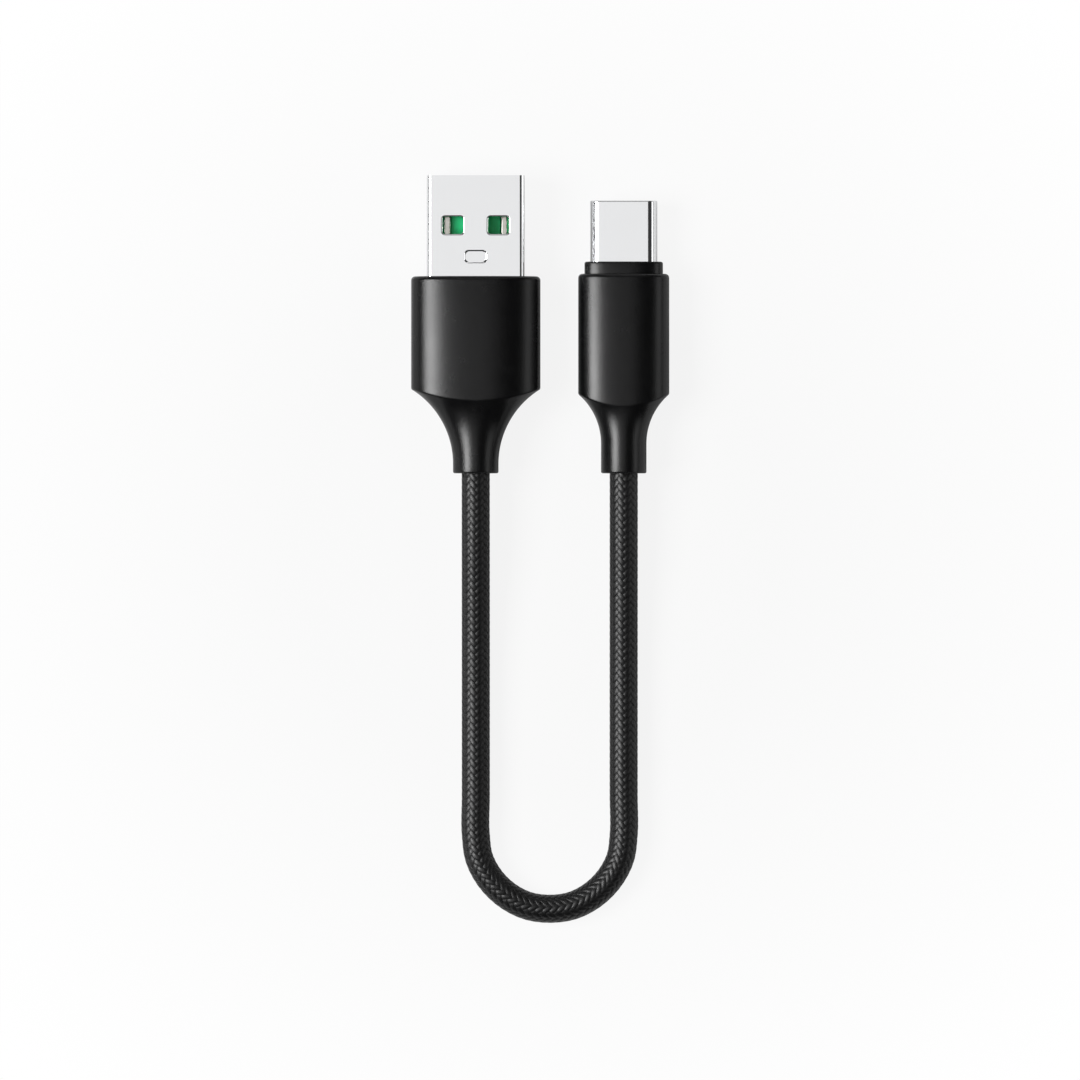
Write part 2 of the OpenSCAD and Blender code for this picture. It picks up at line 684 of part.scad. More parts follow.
// One arm of the latch, on the side given by 1 or -1, with its hook at the front.
module latch_arm(side) {
  y1 = c_arm_y + c_arm_l;
  color([0.75, 0.76, 0.78]) at_reversible() on_side(side) {
    box([c_arm_x, c_arm_y, -c_arm_h / 2], [c_arm_x + c_latch_t, y1, c_arm_h / 2]);
    box([c_arm_x - c_hook, y1 - c_hook_l, -c_arm_h / 2], [c_arm_x + c_latch_t, y1, c_arm_h / 2]);
  }
}

// Draws its children on the right for 1 and mirrored on the left for -1.
module on_side(side) {
  if (side > 0) children();
  else mirror([1, 0, 0]) children();
}

module left_latch_arm() {
  latch_arm(-1);
}

module right_latch_arm() {
  latch_arm(1);
}

module ground_spring(side) {
  z0 = c_insulator_t / 2 - c_ground_t;
  y1 = c_arm_slot_end_y;
  color([0.75, 0.76, 0.78]) at_reversible()
    translate([-c_ground_w / 2, y1 - c_ground_l, side > 0 ? z0 : -z0 - c_ground_t])
      cube([c_ground_w, c_ground_l, c_ground_t]);
}

module upper_ground_spring() {
  ground_spring(1);
}

module lower_ground_spring() {
  ground_spring(-1);
}

module circuit_board() {
  half_w = c_board_w / 2;
  color([0.1, 0.35, 0.2]) at_reversible()
    box([-half_w, c_board_y, -c_board_t / 2], [half_w, c_board_end_y, c_board_t / 2 - seat_gap]);
}

module pull_up_resistor() {
  x = c_board_w / 2 - c_resistor_edge - c_resistor.x;
  color([0.2, 0.2, 0.2]) at_reversible()
    translate([x, c_board_y + c_board_l / 2, c_board_t / 2 - seat_gap]) cube(c_resistor);
}

// One half of the rear shield, above or below the board.
module rear_shield(side) {
  half_w = c_shield_w / 2;
  high = c_shield_t / 2;
  color([0.78, 0.79, 0.8]) at_reversible() intersection() {
    along_y(c_shield_y, c_shell_y - seat_gap) difference() {
      square([c_shield_w, c_shield_t], center = true);
      square([c_shield_w - 2 * c_shield_wall, c_shield_t - 2 * c_shield_wall], center = true);
    }
    if (side > 0) box([-half_w, 0, seat_gap / 2], [half_w, c_tip_y, high]);
    else box([-half_w, 0, -high], [half_w, c_tip_y, -seat_gap / 2]);
  }
}

module upper_rear_shield() {
  rear_shield(1);
}

module lower_rear_shield() {
  rear_shield(-1);
}

module reversible_crimp_ring() {
  at_reversible() crimp_ring();
}

module braided_sleeve() {
  color([0.08, 0.08, 0.09]) hollow_tube(cord_path, cord_r, jacket_r, cord_sides);
}

module cord_jacket() {
  color([0.14, 0.14, 0.14]) hollow_tube(cord_path, jacket_r, jacket_bore_r, cord_sides);
}

// Insulation of a wire whose copper stands out bare at both ends.
module insulation(path, d, core_d) {
  hollow_tube(all_but_ends(path), d / 2, core_d / 2, wire_sides);
}

module copper(path, core_d) {
  color([0.8, 0.5, 0.3]) tube(path, core_d / 2, wire_sides);
}

module red_wire() {
  color("red") insulation(red_path, power_wire_d, power_core_d);
}

module black_wire() {
  color([0.1, 0.1, 0.1]) insulation(black_path, power_wire_d, power_core_d);
}

module white_wire() {
  color("white") insulation(white_path, data_wire_d, data_core_d);
}

module green_wire() {
  color("green") insulation(green_path, data_wire_d, data_core_d);
}

module red_wire_copper() {
  copper(red_path, power_core_d);
}

module black_wire_copper() {
  copper(black_path, power_core_d);
}

module white_wire_copper() {
  copper(white_path, data_core_d);
}

module green_wire_copper() {
  copper(green_path, data_core_d);
}

host_housing();
host_inner_mould();
host_shell();
host_insulator();
host_supply_contact();
host_data_minus_contact();
host_data_plus_contact();
host_ground_contact();
host_crimp_ring();
reversible_housing();
reversible_inner_mould();
reversible_shell();
reversible_insulator();
upper_contacts();
lower_contacts();
latch_plate();
left_latch_arm();
right_latch_arm();
upper_ground_spring();
lower_ground_spring();
circuit_board();
pull_up_resistor();
upper_rear_shield();
lower_rear_shield();
reversible_crimp_ring();
braided_sleeve();
cord_jacket();
red_wire();
black_wire();
white_wire();
green_wire();
red_wire_copper();
black_wire_copper();
white_wire_copper();
green_wire_copper();
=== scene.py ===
# %% [markdown]
# # A short braided charging cable
# The cable has a flat host plug on the left, a smaller reversible plug on the right, and one braided cord
# that bends round behind them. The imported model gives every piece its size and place. This lesson dresses
# it: it lays the cord first, then shapes the grips and shells, then rounds the small parts inside, and ends
# with the finishes, the floor and the lamps.

# %% Load the fixed frame
import json
import math
from types import SimpleNamespace

import bpy
import numpy as np
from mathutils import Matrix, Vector

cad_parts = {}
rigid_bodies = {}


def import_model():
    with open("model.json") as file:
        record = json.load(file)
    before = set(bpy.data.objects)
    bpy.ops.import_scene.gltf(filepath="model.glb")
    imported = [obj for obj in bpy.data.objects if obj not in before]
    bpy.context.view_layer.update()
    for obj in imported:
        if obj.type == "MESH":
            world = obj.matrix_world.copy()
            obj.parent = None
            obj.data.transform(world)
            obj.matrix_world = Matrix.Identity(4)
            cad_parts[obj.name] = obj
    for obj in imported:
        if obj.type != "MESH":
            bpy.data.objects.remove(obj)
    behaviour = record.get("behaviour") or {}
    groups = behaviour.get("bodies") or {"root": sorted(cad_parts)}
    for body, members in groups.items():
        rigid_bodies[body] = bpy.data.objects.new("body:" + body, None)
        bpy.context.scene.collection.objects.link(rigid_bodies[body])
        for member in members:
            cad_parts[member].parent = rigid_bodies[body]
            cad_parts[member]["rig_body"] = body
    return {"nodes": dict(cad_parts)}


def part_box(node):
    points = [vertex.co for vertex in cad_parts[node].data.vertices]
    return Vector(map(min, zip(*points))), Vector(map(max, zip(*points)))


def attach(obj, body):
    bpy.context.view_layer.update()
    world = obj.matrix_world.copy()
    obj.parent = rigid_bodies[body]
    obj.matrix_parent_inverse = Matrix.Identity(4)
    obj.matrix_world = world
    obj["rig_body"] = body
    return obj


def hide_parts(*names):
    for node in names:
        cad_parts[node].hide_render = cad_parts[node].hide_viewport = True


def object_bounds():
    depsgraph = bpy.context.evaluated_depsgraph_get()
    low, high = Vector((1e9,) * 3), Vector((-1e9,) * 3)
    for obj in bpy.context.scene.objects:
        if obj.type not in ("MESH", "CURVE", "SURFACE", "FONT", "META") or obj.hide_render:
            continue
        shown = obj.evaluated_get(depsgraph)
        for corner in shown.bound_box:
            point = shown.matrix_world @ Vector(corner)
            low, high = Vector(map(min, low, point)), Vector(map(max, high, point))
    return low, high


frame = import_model()
cad_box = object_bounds()
MM = 0.001

# %% [markdown]
# ## The camera
# The cable lies flat and is seen from straight above, so the camera hangs over it and looks down. A long
# lens from far away keeps both plugs free of slant, as a product picture does.

# %% Hang the camera over the cable
CAMERA_Z = 1.8
VIEW_CENTRE = Vector((0.0, -0.0265))
VIEW_WIDTH = 0.1328
VIEW_LEVEL = 0.0039
SENSOR_MM = 36.0
CLIP_START = 0.01
CLIP_END = 20.0

bpy.ops.object.select_all(action="DESELECT")
bpy.ops.object.camera_add(location=(VIEW_CENTRE.x, VIEW_CENTRE.y, CAMERA_Z), rotation=(0.0, 0.0, 0.0))
camera = bpy.context.object
camera.name = "camera"
camera.data.sensor_width = SENSOR_MM
camera.data.lens = SENSOR_MM * (CAMERA_Z - VIEW_LEVEL) / VIEW_WIDTH
camera.data.clip_start = CLIP_START
camera.data.clip_end = CLIP_END
bpy.context.scene.camera = camera
bpy.context.scene.view_settings.view_transform = "Standard"
print("camera lens", round(camera.data.lens, 1), "mm")

# %% [markdown]
# ## Where the plugs are
# Each plug has an axis along +Y. The box of its housing gives the axis, the place where the cord leaves it
# and its front. What the boxes can't give, such as the neck's diameter, is a named size.

# %% Read each plug's axis from its housing
def plug_place(housing):
    """The axis, the cord's exit, the front and the size of one plug, from its housing's box."""
    low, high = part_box(housing)
    middle = (low + high) / 2
    return SimpleNamespace(
        x=middle.x, z=middle.z, exit_y=low.y, front_y=high.y, wide=high.x - low.x, thick=high.z - low.z
    )


host = plug_place("host_housing")
reversible = plug_place("reversible_housing")
NECK_D = 5.6 * MM
SEAT_GAP = 0.02 * MM
CORD_D = 3.5 * MM
CORD_R = CORD_D / 2
JACKET_R = 1.45 * MM
JACKET_BORE_R = 1.15 * MM
CORD_IN = 9.0 * MM
print("host axis x", round(host.x / MM, 2), "mm, reversible axis x", round(reversible.x / MM, 2), "mm")

# %% [markdown]
# ## The cord's route
# A cord has a fixed length, so its line comes before its surface. These are the same points as in the solid
# model: x and y in millimetres, and how far the cord has risen from the floor towards its plug's axis. A
# smooth curve goes through them, and is cut into equal steps so that the braid keeps its pitch in the bend.

# %% The route's points
ROUTE = [
    (-7.9, -18.3, 1), (-7.9, -21, 1), (-7.9, -24, 0.95), (-7.9, -28, 0.78), (-7.9, -32, 0.53),
    (-7.9, -36, 0.3), (-7.9, -40, 0.12), (-7.9, -44, 0.03), (-7.9, -48, 0), (-7.9, -53, 0),
    (-7.9, -58, 0), (-7.9, -62.8, 0),
    (-7.5, -65.6, 0), (-6.2, -68.1, 0), (-4.1, -70.2, 0), (-1.6, -71.5, 0),
    (1.2, -71.9, 0),
    (4, -71.5, 0), (6.5, -70.2, 0), (8.6, -68.1, 0), (9.9, -65.6, 0),
    (10.3, -62.8, 0), (10.3, -58, 0),
    (10.3, -53, 0), (10.3, -48, 0), (10.3, -44, 0.03), (10.3, -40, 0.12), (10.3, -36, 0.3),
    (10.3, -32, 0.53), (10.3, -28, 0.78), (10.3, -24, 0.95), (10.3, -21, 1), (10.3, -18.3, 1),
]
FINE_STEPS = 24


def raised(x, y, rise):
    """A point of the route in metres, with its height between the floor and its plug's axis."""
    axis_z = host.z if x < 0 else reversible.z
    return [x * MM, y * MM, CORD_R + rise * (axis_z - CORD_R)]


def smooth_line(points, step):
    """Runs a smooth curve through points and returns its places, equally far apart and about one step."""
    knots = np.array(points, float)
    gap = np.linalg.norm(np.diff(knots, axis=0), axis=1)[:, None]
    slope = np.diff(knots, axis=0) / gap
    inner = (slope[:-1] * gap[1:] + slope[1:] * gap[:-1]) / (gap[:-1] + gap[1:])
    lean = np.concatenate([slope[:1], inner, slope[-1:]])
    share = (np.arange(FINE_STEPS) / FINE_STEPS)[None, :, None]
    start, end = knots[:-1, None], knots[1:, None]
    leave, arrive = (lean[:-1] * gap)[:, None], (lean[1:] * gap)[:, None]
    fine = (
        (2 * share**3 - 3 * share**2 + 1) * start
        + (share**3 - 2 * share**2 + share) * leave
        + (3 * share**2 - 2 * share**3) * end
        + (share**3 - share**2) * arrive
    ).reshape(-1, 3)
    fine = np.concatenate([fine, knots[-1:]])
    run = np.concatenate([[0.0], np.cumsum(np.linalg.norm(np.diff(fine, axis=0), axis=1))])
    stations = np.linspace(0.0, run[-1], int(round(run[-1] / step)) + 1)
    return np.stack([np.interp(stations, run, fine[:, axis]) for axis in range(3)], axis=1)


# %% [markdown]
# A tube needs more than a line: at each step it needs to know which way is sideways and which way is up.
# The cord lies flat, so sideways is always level, and nothing twists.

# %% Lay out the cord
def lay_out(places):
    """Adds the distance run, and the sideways and upward directions, to places along a line."""
    places = np.asarray(places, float)
    step = np.linalg.norm(np.diff(places, axis=0), axis=1)
    ahead = np.gradient(places, axis=0)
    ahead /= np.linalg.norm(ahead, axis=1)[:, None]
    right = np.cross(ahead, [0.0, 0.0, 1.0])
    right /= np.linalg.norm(right, axis=1)[:, None]
    up = np.cross(right, ahead)
    return SimpleNamespace(place=places, run=np.concatenate([[0.0], np.cumsum(step)]), right=right, up=up)


def beside(line, run, right=0.0, up=0.0):
    """Points to the right of and above a line, at the given distances along it."""
    def at(rows):
        return np.stack([np.interp(run, line.run, rows[:, axis]) for axis in range(3)], axis=-1)

    right, up = ((share + 0 * run)[..., None] for share in (right, up))
    return at(line.place) + right * at(line.right) + up * at(line.up)


def run_in(cord_end, plug):
    """Places from deep inside a plug to one end of the free cord, without that end."""
    cord_end = np.array(cord_end)
    deep = np.array([plug.x, plug.exit_y + CORD_IN, plug.z])
    return cord_end + np.linspace(1.0, 0.0, INSIDE_STEPS, endpoint=False)[:, None] * (deep - cord_end)


INSIDE_STEPS = 45
ROUTE_STEP = 0.1 * MM
route = [raised(*point) for point in ROUTE]
free_line = smooth_line(route, ROUTE_STEP)
cord = lay_out(np.concatenate([run_in(route[0], host), free_line, run_in(route[-1], reversible)[::-1]]))

# %% [markdown]
# ## Helpers for modelling
# Blender's operators act on whatever is selected, so each step first selects one thing alone. Most hollow
# pieces here are one skin that runs over the outside, round an edge and back through the inside. A sheet of
# squares is added, its corners are laid on a row of rings, and its seam is merged.

# %% Select, edit and apply
FACING = 0.9


def select_only(obj):
    """Makes obj the one selected and active object."""
    bpy.ops.object.select_all(action="DESELECT")
    obj.select_set(True)
    bpy.context.view_layer.objects.active = obj


def edit(obj, kind="VERT"):
    """Opens obj in edit mode for one kind of element, with nothing selected."""
    select_only(obj)
    bpy.ops.object.mode_set(mode="EDIT")
    bpy.ops.mesh.select_mode(type=kind)
    bpy.ops.mesh.select_all(action="DESELECT")


def leave_edit():
    bpy.ops.object.mode_set(mode="OBJECT")


def select_where(obj, kind, parts, wanted):
    """Opens obj in edit mode with just those parts of its mesh selected that wanted(part) picks."""
    edit(obj, kind)
    leave_edit()
    for part in getattr(obj.data, parts):
        part.select = bool(wanted(part))
    bpy.ops.object.mode_set(mode="EDIT")


def select_edges(obj, wanted):
    select_where(obj, "EDGE", "edges", wanted)


def select_faces(obj, wanted):
    select_where(obj, "FACE", "polygons", wanted)


def apply_modifier(obj, kind, **settings):
    """Adds one modifier with these settings and applies it to the mesh."""
    select_only(obj)
    modifier = obj.modifiers.new(kind.lower(), kind)
    for name, value in settings.items():
        setattr(modifier, name, value)
    bpy.ops.object.modifier_apply(modifier=modifier.name)


def smooth(obj, angle_deg):
    """Shades obj smooth, apart from edges sharper than this angle."""
    select_only(obj)
    bpy.ops.object.shade_smooth_by_angle(angle=math.radians(angle_deg))


def smooth_flat(obj, angle_deg=50):
    """Shades obj smooth, but lets its large faces stay flat up to their edges."""
    smooth(obj, angle_deg)
    apply_modifier(obj, "WEIGHTED_NORMAL", weight=100, keep_sharp=True)


def round_sharp(obj, width, angle_deg, segments=3):
    """Bevels every edge that is sharper than an angle, then shades the piece."""
    apply_modifier(
        obj, "BEVEL", width=width, segments=segments, limit_method="ANGLE",
        angle_limit=math.radians(angle_deg), use_clamp_overlap=True,
    )
    smooth_flat(obj)


# %% Wrap a sheet round a row of rings
MERGE = 0.002 * MM


def skin(name, rings):
    """One closed skin over rings of points, each ring an array of the same number of rows."""
    rings = np.array(rings, float)
    rows, around = rings.shape[:2]
    bpy.ops.object.select_all(action="DESELECT")
    bpy.ops.mesh.primitive_grid_add(
        x_subdivisions=around, y_subdivisions=rows - 1, size=1.0, calc_uvs=False)
    obj = bpy.context.object
    obj.name = name
    obj.data.name = name
    corners = np.concatenate([rings, rings[:, :1]], axis=1)
    obj.data.vertices.foreach_set("co", corners.astype(np.float32).ravel())
    ring_of = obj.data.attributes.new("ring", "INT", "POINT")
    ring_of.data.foreach_set("value", np.repeat(np.arange(rows), around + 1).astype(np.int32))
    edit(obj)
    bpy.ops.mesh.select_all(action="SELECT")
    bpy.ops.mesh.remove_doubles(threshold=MERGE)
    bpy.ops.mesh.normals_make_consistent(inside=False)
    leave_edit()
    return obj


def round_ring(obj, ring, offset, segments=4):
    """Bevels the sharp edge that runs along one ring of a skin."""
    ring_of = [mark.value for mark in obj.data.attributes["ring"].data]
    select_edges(obj, lambda edge: all(ring_of[corner] == ring for corner in edge.vertices))
    bpy.ops.mesh.bevel(offset=offset, segments=segments, profile=0.5, affect="EDGES", clamp_overlap=True)
    leave_edit()


def finish_skin(obj, angle_deg):
    """Drops the ring marks of a finished skin, shades it and returns it."""
    obj.data.attributes.remove(obj.data.attributes["ring"])
    smooth(obj, angle_deg)
    return obj


# %% [markdown]
# ## Outlines
# Seen from the front, an outline is known by how far it reaches in each direction from the plug's axis, so
# each one here is a function that gives that reach. The parts inside are rounded rectangles. The grips are
# crowned: their sides run over into a top that is nowhere quite flat, so a highlight fades slowly across
# them. The points of a ring are spread by how far the outline runs and by how much it turns.

# %% Reach of each outline
AROUND = 144
FINE_TURNS = 7200
CROWN = 2.6


def boxed(wide, thick, radius):
    """The outline of a rounded rectangle."""
    def reach(angle):
        cosine = np.maximum(np.abs(np.cos(angle)), 1e-9)
        sine = np.maximum(np.abs(np.sin(angle)), 1e-9)
        corner_x = wide / 2 - radius
        corner_z = thick / 2 - radius
        along = corner_x * cosine + corner_z * sine
        across = corner_x * sine - corner_z * cosine
        on_corner = along + np.sqrt(np.maximum(radius**2 - across**2, 0.0))
        side = wide / 2 / cosine
        top = thick / 2 / sine
        return np.where(side * sine <= corner_z, side, np.where(top * cosine <= corner_x, top, on_corner))

    return reach


def crowned(wide, thick):
    """The outline of a crowned grip. CROWN would be 2 for an oval, and more for flatter faces."""
    def reach(angle):
        across = np.abs(np.cos(angle)) * 2 / wide
        upward = np.abs(np.sin(angle)) * 2 / thick
        return (across**CROWN + upward**CROWN) ** (-1 / CROWN)

    return reach


def ring_angles(outline):
    """Directions of a ring's points, closer together where the outline turns."""
    fine = 2 * math.pi * np.arange(FINE_TURNS + 1) / FINE_TURNS
    reach = outline(fine)
    step = np.diff(np.stack([reach * np.cos(fine), reach * np.sin(fine)], axis=1), axis=0)
    length = np.linalg.norm(step, axis=1)
    heading = np.unwrap(np.arctan2(step[:, 1], step[:, 0]))
    turned = np.abs(np.diff(heading, prepend=heading[0]))
    spent = np.concatenate([[0.0], np.cumsum(length / length.sum() + 2 * turned / turned.sum())])
    return np.interp(np.arange(AROUND) / AROUND * spent[-1], spent, fine)


def fitted(node, gap, radius=None):
    """The outline of a piece's box, widened by a gap. Without a radius its sides are full-round."""
    low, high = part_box(node)
    wide = high.x - low.x + gap
    thick = high.z - low.z + gap
    return boxed(wide, thick, thick / 2 if radius is None else radius)


def ring_at(plug, y, reach, angle):
    """A ring of points round a plug's axis, y metres in front of the cord's exit."""
    y = np.broadcast_to(y, angle.shape)
    across, upward = reach * np.cos(angle), reach * np.sin(angle)
    return np.stack([plug.x + across, plug.exit_y + y, plug.z + upward], axis=1)


print("outline points round a grip:", AROUND)

# %% [markdown]
# ## The braided sleeve
# The sleeve is woven from flat bundles of nylon. Twelve wind one way round the cord and twelve the other,
# and each goes over two and under two. A bump pattern could only hint at that, so every bundle is a real
# ribbon here. Round the cord, the two directions come to the top in turn, which gives the rows of small
# arrowheads. The cord turns a little about its own line in the bend, so the same row shows on both straight
# legs.

# %% Sizes of the braid
BUNDLES = 12
BRAID_PITCH = 10.58 * MM
BRAID_R = 1.65 * MM
BRAID_LIFT = 0.045 * MM
BUNDLE_W = 0.6 * MM
BUNDLE_T = 0.09 * MM
BRAID_TURN = np.radians((34.0, 11.5))
TURNS_WITHIN = 14.0 * MM
BRAID_IN = 3.0 * MM
BRAID_START = CORD_IN - BRAID_IN
BRAID_END = cord.run[-1] - BRAID_START
STEPS_PER_WAVE = 10
WAVE_LENGTH = 2 * BRAID_PITCH / BUNDLES
FLATNESS = 3.0
FIRST_OVER = {1: 0.5, -1: 2.5}
BUNDLE_SECTION = np.array([
    (0.5, 0.0), (0.38, 0.42), (0.0, 0.5), (-0.38, 0.42),
    (-0.5, 0.0), (-0.38, -0.42), (0.0, -0.5), (0.38, -0.42),
])


def lift(crossing):
    """Height of a bundle that is over its partners round crossing 0 and under them two crossings on."""
    return BRAID_LIFT * np.tanh(FLATNESS * np.cos(math.pi * crossing / 2)) / math.tanh(FLATNESS)


def braid_turn(run):
    """How far the braid is turned about the cord's line: one angle before the bend, another after it."""
    middle = cord.run[-1] / 2
    return np.interp(run, (middle - TURNS_WITHIN, middle + TURNS_WITHIN), BRAID_TURN)


# %% Weave one set of bundles
def bundle_rings(number, way):
    """Rings of one bundle that winds one way, 1 or -1, and how far each point is over its partners."""
    steps = int(round((BRAID_END - BRAID_START) / WAVE_LENGTH * STEPS_PER_WAVE))
    run = np.linspace(BRAID_START, BRAID_END, steps + 1)[:, None]
    turn = 2 * math.pi / BRAID_PITCH
    angle = 2 * math.pi * number / BUNDLES + way * turn * run
    slant = math.atan(turn * BRAID_R)
    wide = BUNDLE_SECTION[:, 0] * BUNDLE_W
    high = BUNDLE_SECTION[:, 1] * BUNDLE_T
    at_run = run - way * math.sin(slant) * wide
    at_angle = angle + math.cos(slant) * wide / BRAID_R
    first_over = FIRST_OVER[way]
    lifted = lift(BUNDLES * angle / math.pi - first_over)
    radius = BRAID_R + lifted + high
    around = at_angle + braid_turn(at_run)
    over = 0.5 + 0.5 * lifted / BRAID_LIFT + 0 * high
    return beside(cord, at_run, radius * np.sin(around), radius * np.cos(around)), over


def weave(name, way):
    """All the bundles that wind one way, as one mesh with its own coordinates along each bundle."""
    woven = [bundle_rings(number, way) for number in range(BUNDLES)]
    corners = np.array([rings for rings, over in woven])
    covers = np.array([over for rings, over in woven])
    rows, sides = covers.shape[1:]
    row = np.arange(rows - 1)[:, None]
    side = np.arange(sides)[None, :]
    after = (side + 1) % sides
    here, ahead = row * sides, (row + 1) * sides
    quads = np.stack([here + side, here + after, ahead + after, ahead + side], axis=-1)
    faces = np.arange(BUNDLES)[:, None, None] * rows * sides + quads.reshape(1, -1, 4)
    across = np.stack([side, side + 1, side + 1, side], axis=-1) / sides + 0 * row[..., None]
    along = np.stack([row, row, row + 1, row + 1], axis=-1) / STEPS_PER_WAVE + 0 * side[..., None]
    places = np.tile(np.stack([across.ravel(), along.ravel()], axis=1), (BUNDLES, 1))
    mesh = bpy.data.meshes.new(name)
    mesh.from_pydata(corners.reshape(-1, 3).tolist(), [], faces.reshape(-1, 4).tolist())
    mesh.uv_layers.new(name="UVMap").data.foreach_set("uv", places.astype(np.float32).ravel())
    cover = mesh.attributes.new("over", "FLOAT", "POINT")
    cover.data.foreach_set("value", covers.ravel().astype(np.float32))
    obj = bpy.data.objects.new(name, mesh)
    bpy.context.scene.collection.objects.link(obj)
    edit(obj, "EDGE")
    bpy.ops.mesh.select_non_manifold(extend=False)
    bpy.ops.mesh.edge_face_add()
    bpy.ops.mesh.select_all(action="SELECT")
    bpy.ops.mesh.normals_make_consistent(inside=False)
    leave_edit()
    smooth(obj, 80)
    return obj


right_hand_braid = weave("right_hand_braid", 1)
left_hand_braid = weave("left_hand_braid", -1)
print("braid faces", len(right_hand_braid.data.polygons) + len(left_hand_braid.data.polygons))

# %% [markdown]
# ## The jacket and the wires
# Under the sleeve a rubber jacket holds four insulated wires: two thick ones for power, side by side, and
# two thin ones for data, above and below them. They are plain tubes with true walls, which fan out in the
# plugs to what they are soldered to.

# %% Make tubes along a line
TUBE_STEP = 1.0 * MM


def tube_rings(line, radius, sides):
    """Rings of one radius along a line."""
    angle = 2 * math.pi * np.arange(sides) / sides
    return beside(line, line.run[:, None] + 0 * angle, radius * np.cos(angle), radius * np.sin(angle))


def solid_tube(name, line, radius, sides=12):
    """A round bar with flat closed ends."""
    poles = tube_rings(line, 0.0, sides)
    rings = np.concatenate([poles[:1], tube_rings(line, radius, sides), poles[-1:]])
    return finish_skin(skin(name, rings), angle_deg=50)


def hollow_tube(name, line, radius, bore_radius, sides=12):
    """A tube with a wall: out along the outside and back along the bore."""
    outer = tube_rings(line, radius, sides)
    bore = tube_rings(line, bore_radius, sides)
    return finish_skin(skin(name, np.concatenate([outer, bore[::-1], outer[:1]])), angle_deg=50)


cord_steps = np.linspace(0.0, cord.run[-1], int(round(cord.run[-1] / TUBE_STEP)) + 1)
jacket_line = lay_out(beside(cord, cord_steps))
cord_jacket = hollow_tube("rubber_jacket", jacket_line, JACKET_R, JACKET_BORE_R, sides=32)
print("jacket length", round(jacket_line.run[-1] / MM, 1), "mm")

# %% Where each wire starts, runs and ends
POWER_WIRE_R = 0.45 * MM
DATA_WIRE_R = 0.3 * MM
POWER_CORE_R = 0.25 * MM
DATA_CORE_R = 0.15 * MM
POWER_SIDE = 0.5 * MM
DATA_RISE = 0.7125 * MM
STRIP_GAP = 0.3 * MM
STRAIGHT_L = 1.0 * MM
PAD_L = 1.8 * MM
TAIL_L = 2.6 * MM
POWER_PAD_X = 2.4 * MM
DATA_PAD_X = 0.8 * MM


def contact_top(node):
    """Middle of a contact across the plug, the height of its top, and where its tail ends."""
    low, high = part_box(node)
    return (low.x + high.x) / 2, high.z, low.y


def wire_line(contact, pad_x, side, rise, core_r):
    """A wire's line from its contact, through the cord, to its pad on the circuit board."""
    contact_x, contact_z, tail_y = contact_top(contact)
    board_low, board_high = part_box("circuit_board")
    from_z = contact_z + SEAT_GAP + core_r
    to_z = board_high.z + 2 * SEAT_GAP + core_r
    to_x = reversible.x + pad_x
    start = [[contact_x, y, from_z] for y in (
        tail_y + TAIL_L - STRIP_GAP, tail_y - STRIP_GAP, tail_y - STRIP_GAP - STRAIGHT_L)]
    end = [[to_x, y, to_z] for y in (
        board_low.y - STRIP_GAP - STRAIGHT_L, board_low.y - STRIP_GAP, board_low.y + PAD_L)]
    return np.concatenate([start, beside(cord, cord_steps, side, rise), end])


WIRES = {
    "red": wire_line("host_supply_contact", POWER_PAD_X, POWER_SIDE, 0.0, POWER_CORE_R),
    "black": wire_line("host_ground_contact", -POWER_PAD_X, -POWER_SIDE, 0.0, POWER_CORE_R),
    "white": wire_line("host_data_minus_contact", DATA_PAD_X, 0.0, DATA_RISE, DATA_CORE_R),
    "green": wire_line("host_data_plus_contact", -DATA_PAD_X, 0.0, -DATA_RISE, DATA_CORE_R),
}
WIRE_STEP = 0.8 * MM
insulation, cores = {}, {}
for colour, points in WIRES.items():
    is_power = colour in ("red", "black")
    wire_r = POWER_WIRE_R if is_power else DATA_WIRE_R
    core_r = POWER_CORE_R if is_power else DATA_CORE_R
    covered = lay_out(smooth_line(points[1:-1], WIRE_STEP))
    insulation[colour] = hollow_tube(f"{colour}_insulation", covered, wire_r, core_r)
    cores[colour] = solid_tube(f"{colour}_core", lay_out(smooth_line(points, WIRE_STEP)), core_r, sides=10)
print("wires:", ", ".join(WIRES))

# %% [markdown]
# ## The grips
# A grip is moulded in one piece over what it holds: a round neck that grips the cord, a flare like a
# trumpet's, a crisp bowed crease, and a crowned body with a softly rounded front edge. The skin starts at
# the neck's bore, runs over all of these and comes back through the seat of the shell and the space for the
# inner mould.

# %% Sizes that the grips share
CREASE_BOW = 1.4 * MM
CREASE_ROUND = 0.16 * MM
NECK_ROUND = 0.22 * MM
FRONT_ROUND = 0.5 * MM
FRONT_STEPS = 7
FLARE_STEPS = 26
CORD_BORE_R = CORD_R + 0.02 * MM
CRIMP_Y = 3.0 * MM
CRIMP_L = 4.0 * MM
CRIMP_WALL = 0.3 * MM
CRIMP_BORE_R = CORD_BORE_R + CRIMP_WALL + SEAT_GAP


def flare_share(along, radius, wide):
    """Share of the way from the neck to the body that an arc of this radius has gone."""
    return (radius - np.sqrt(radius**2 - along**2)) / ((wide - NECK_D) / 2)


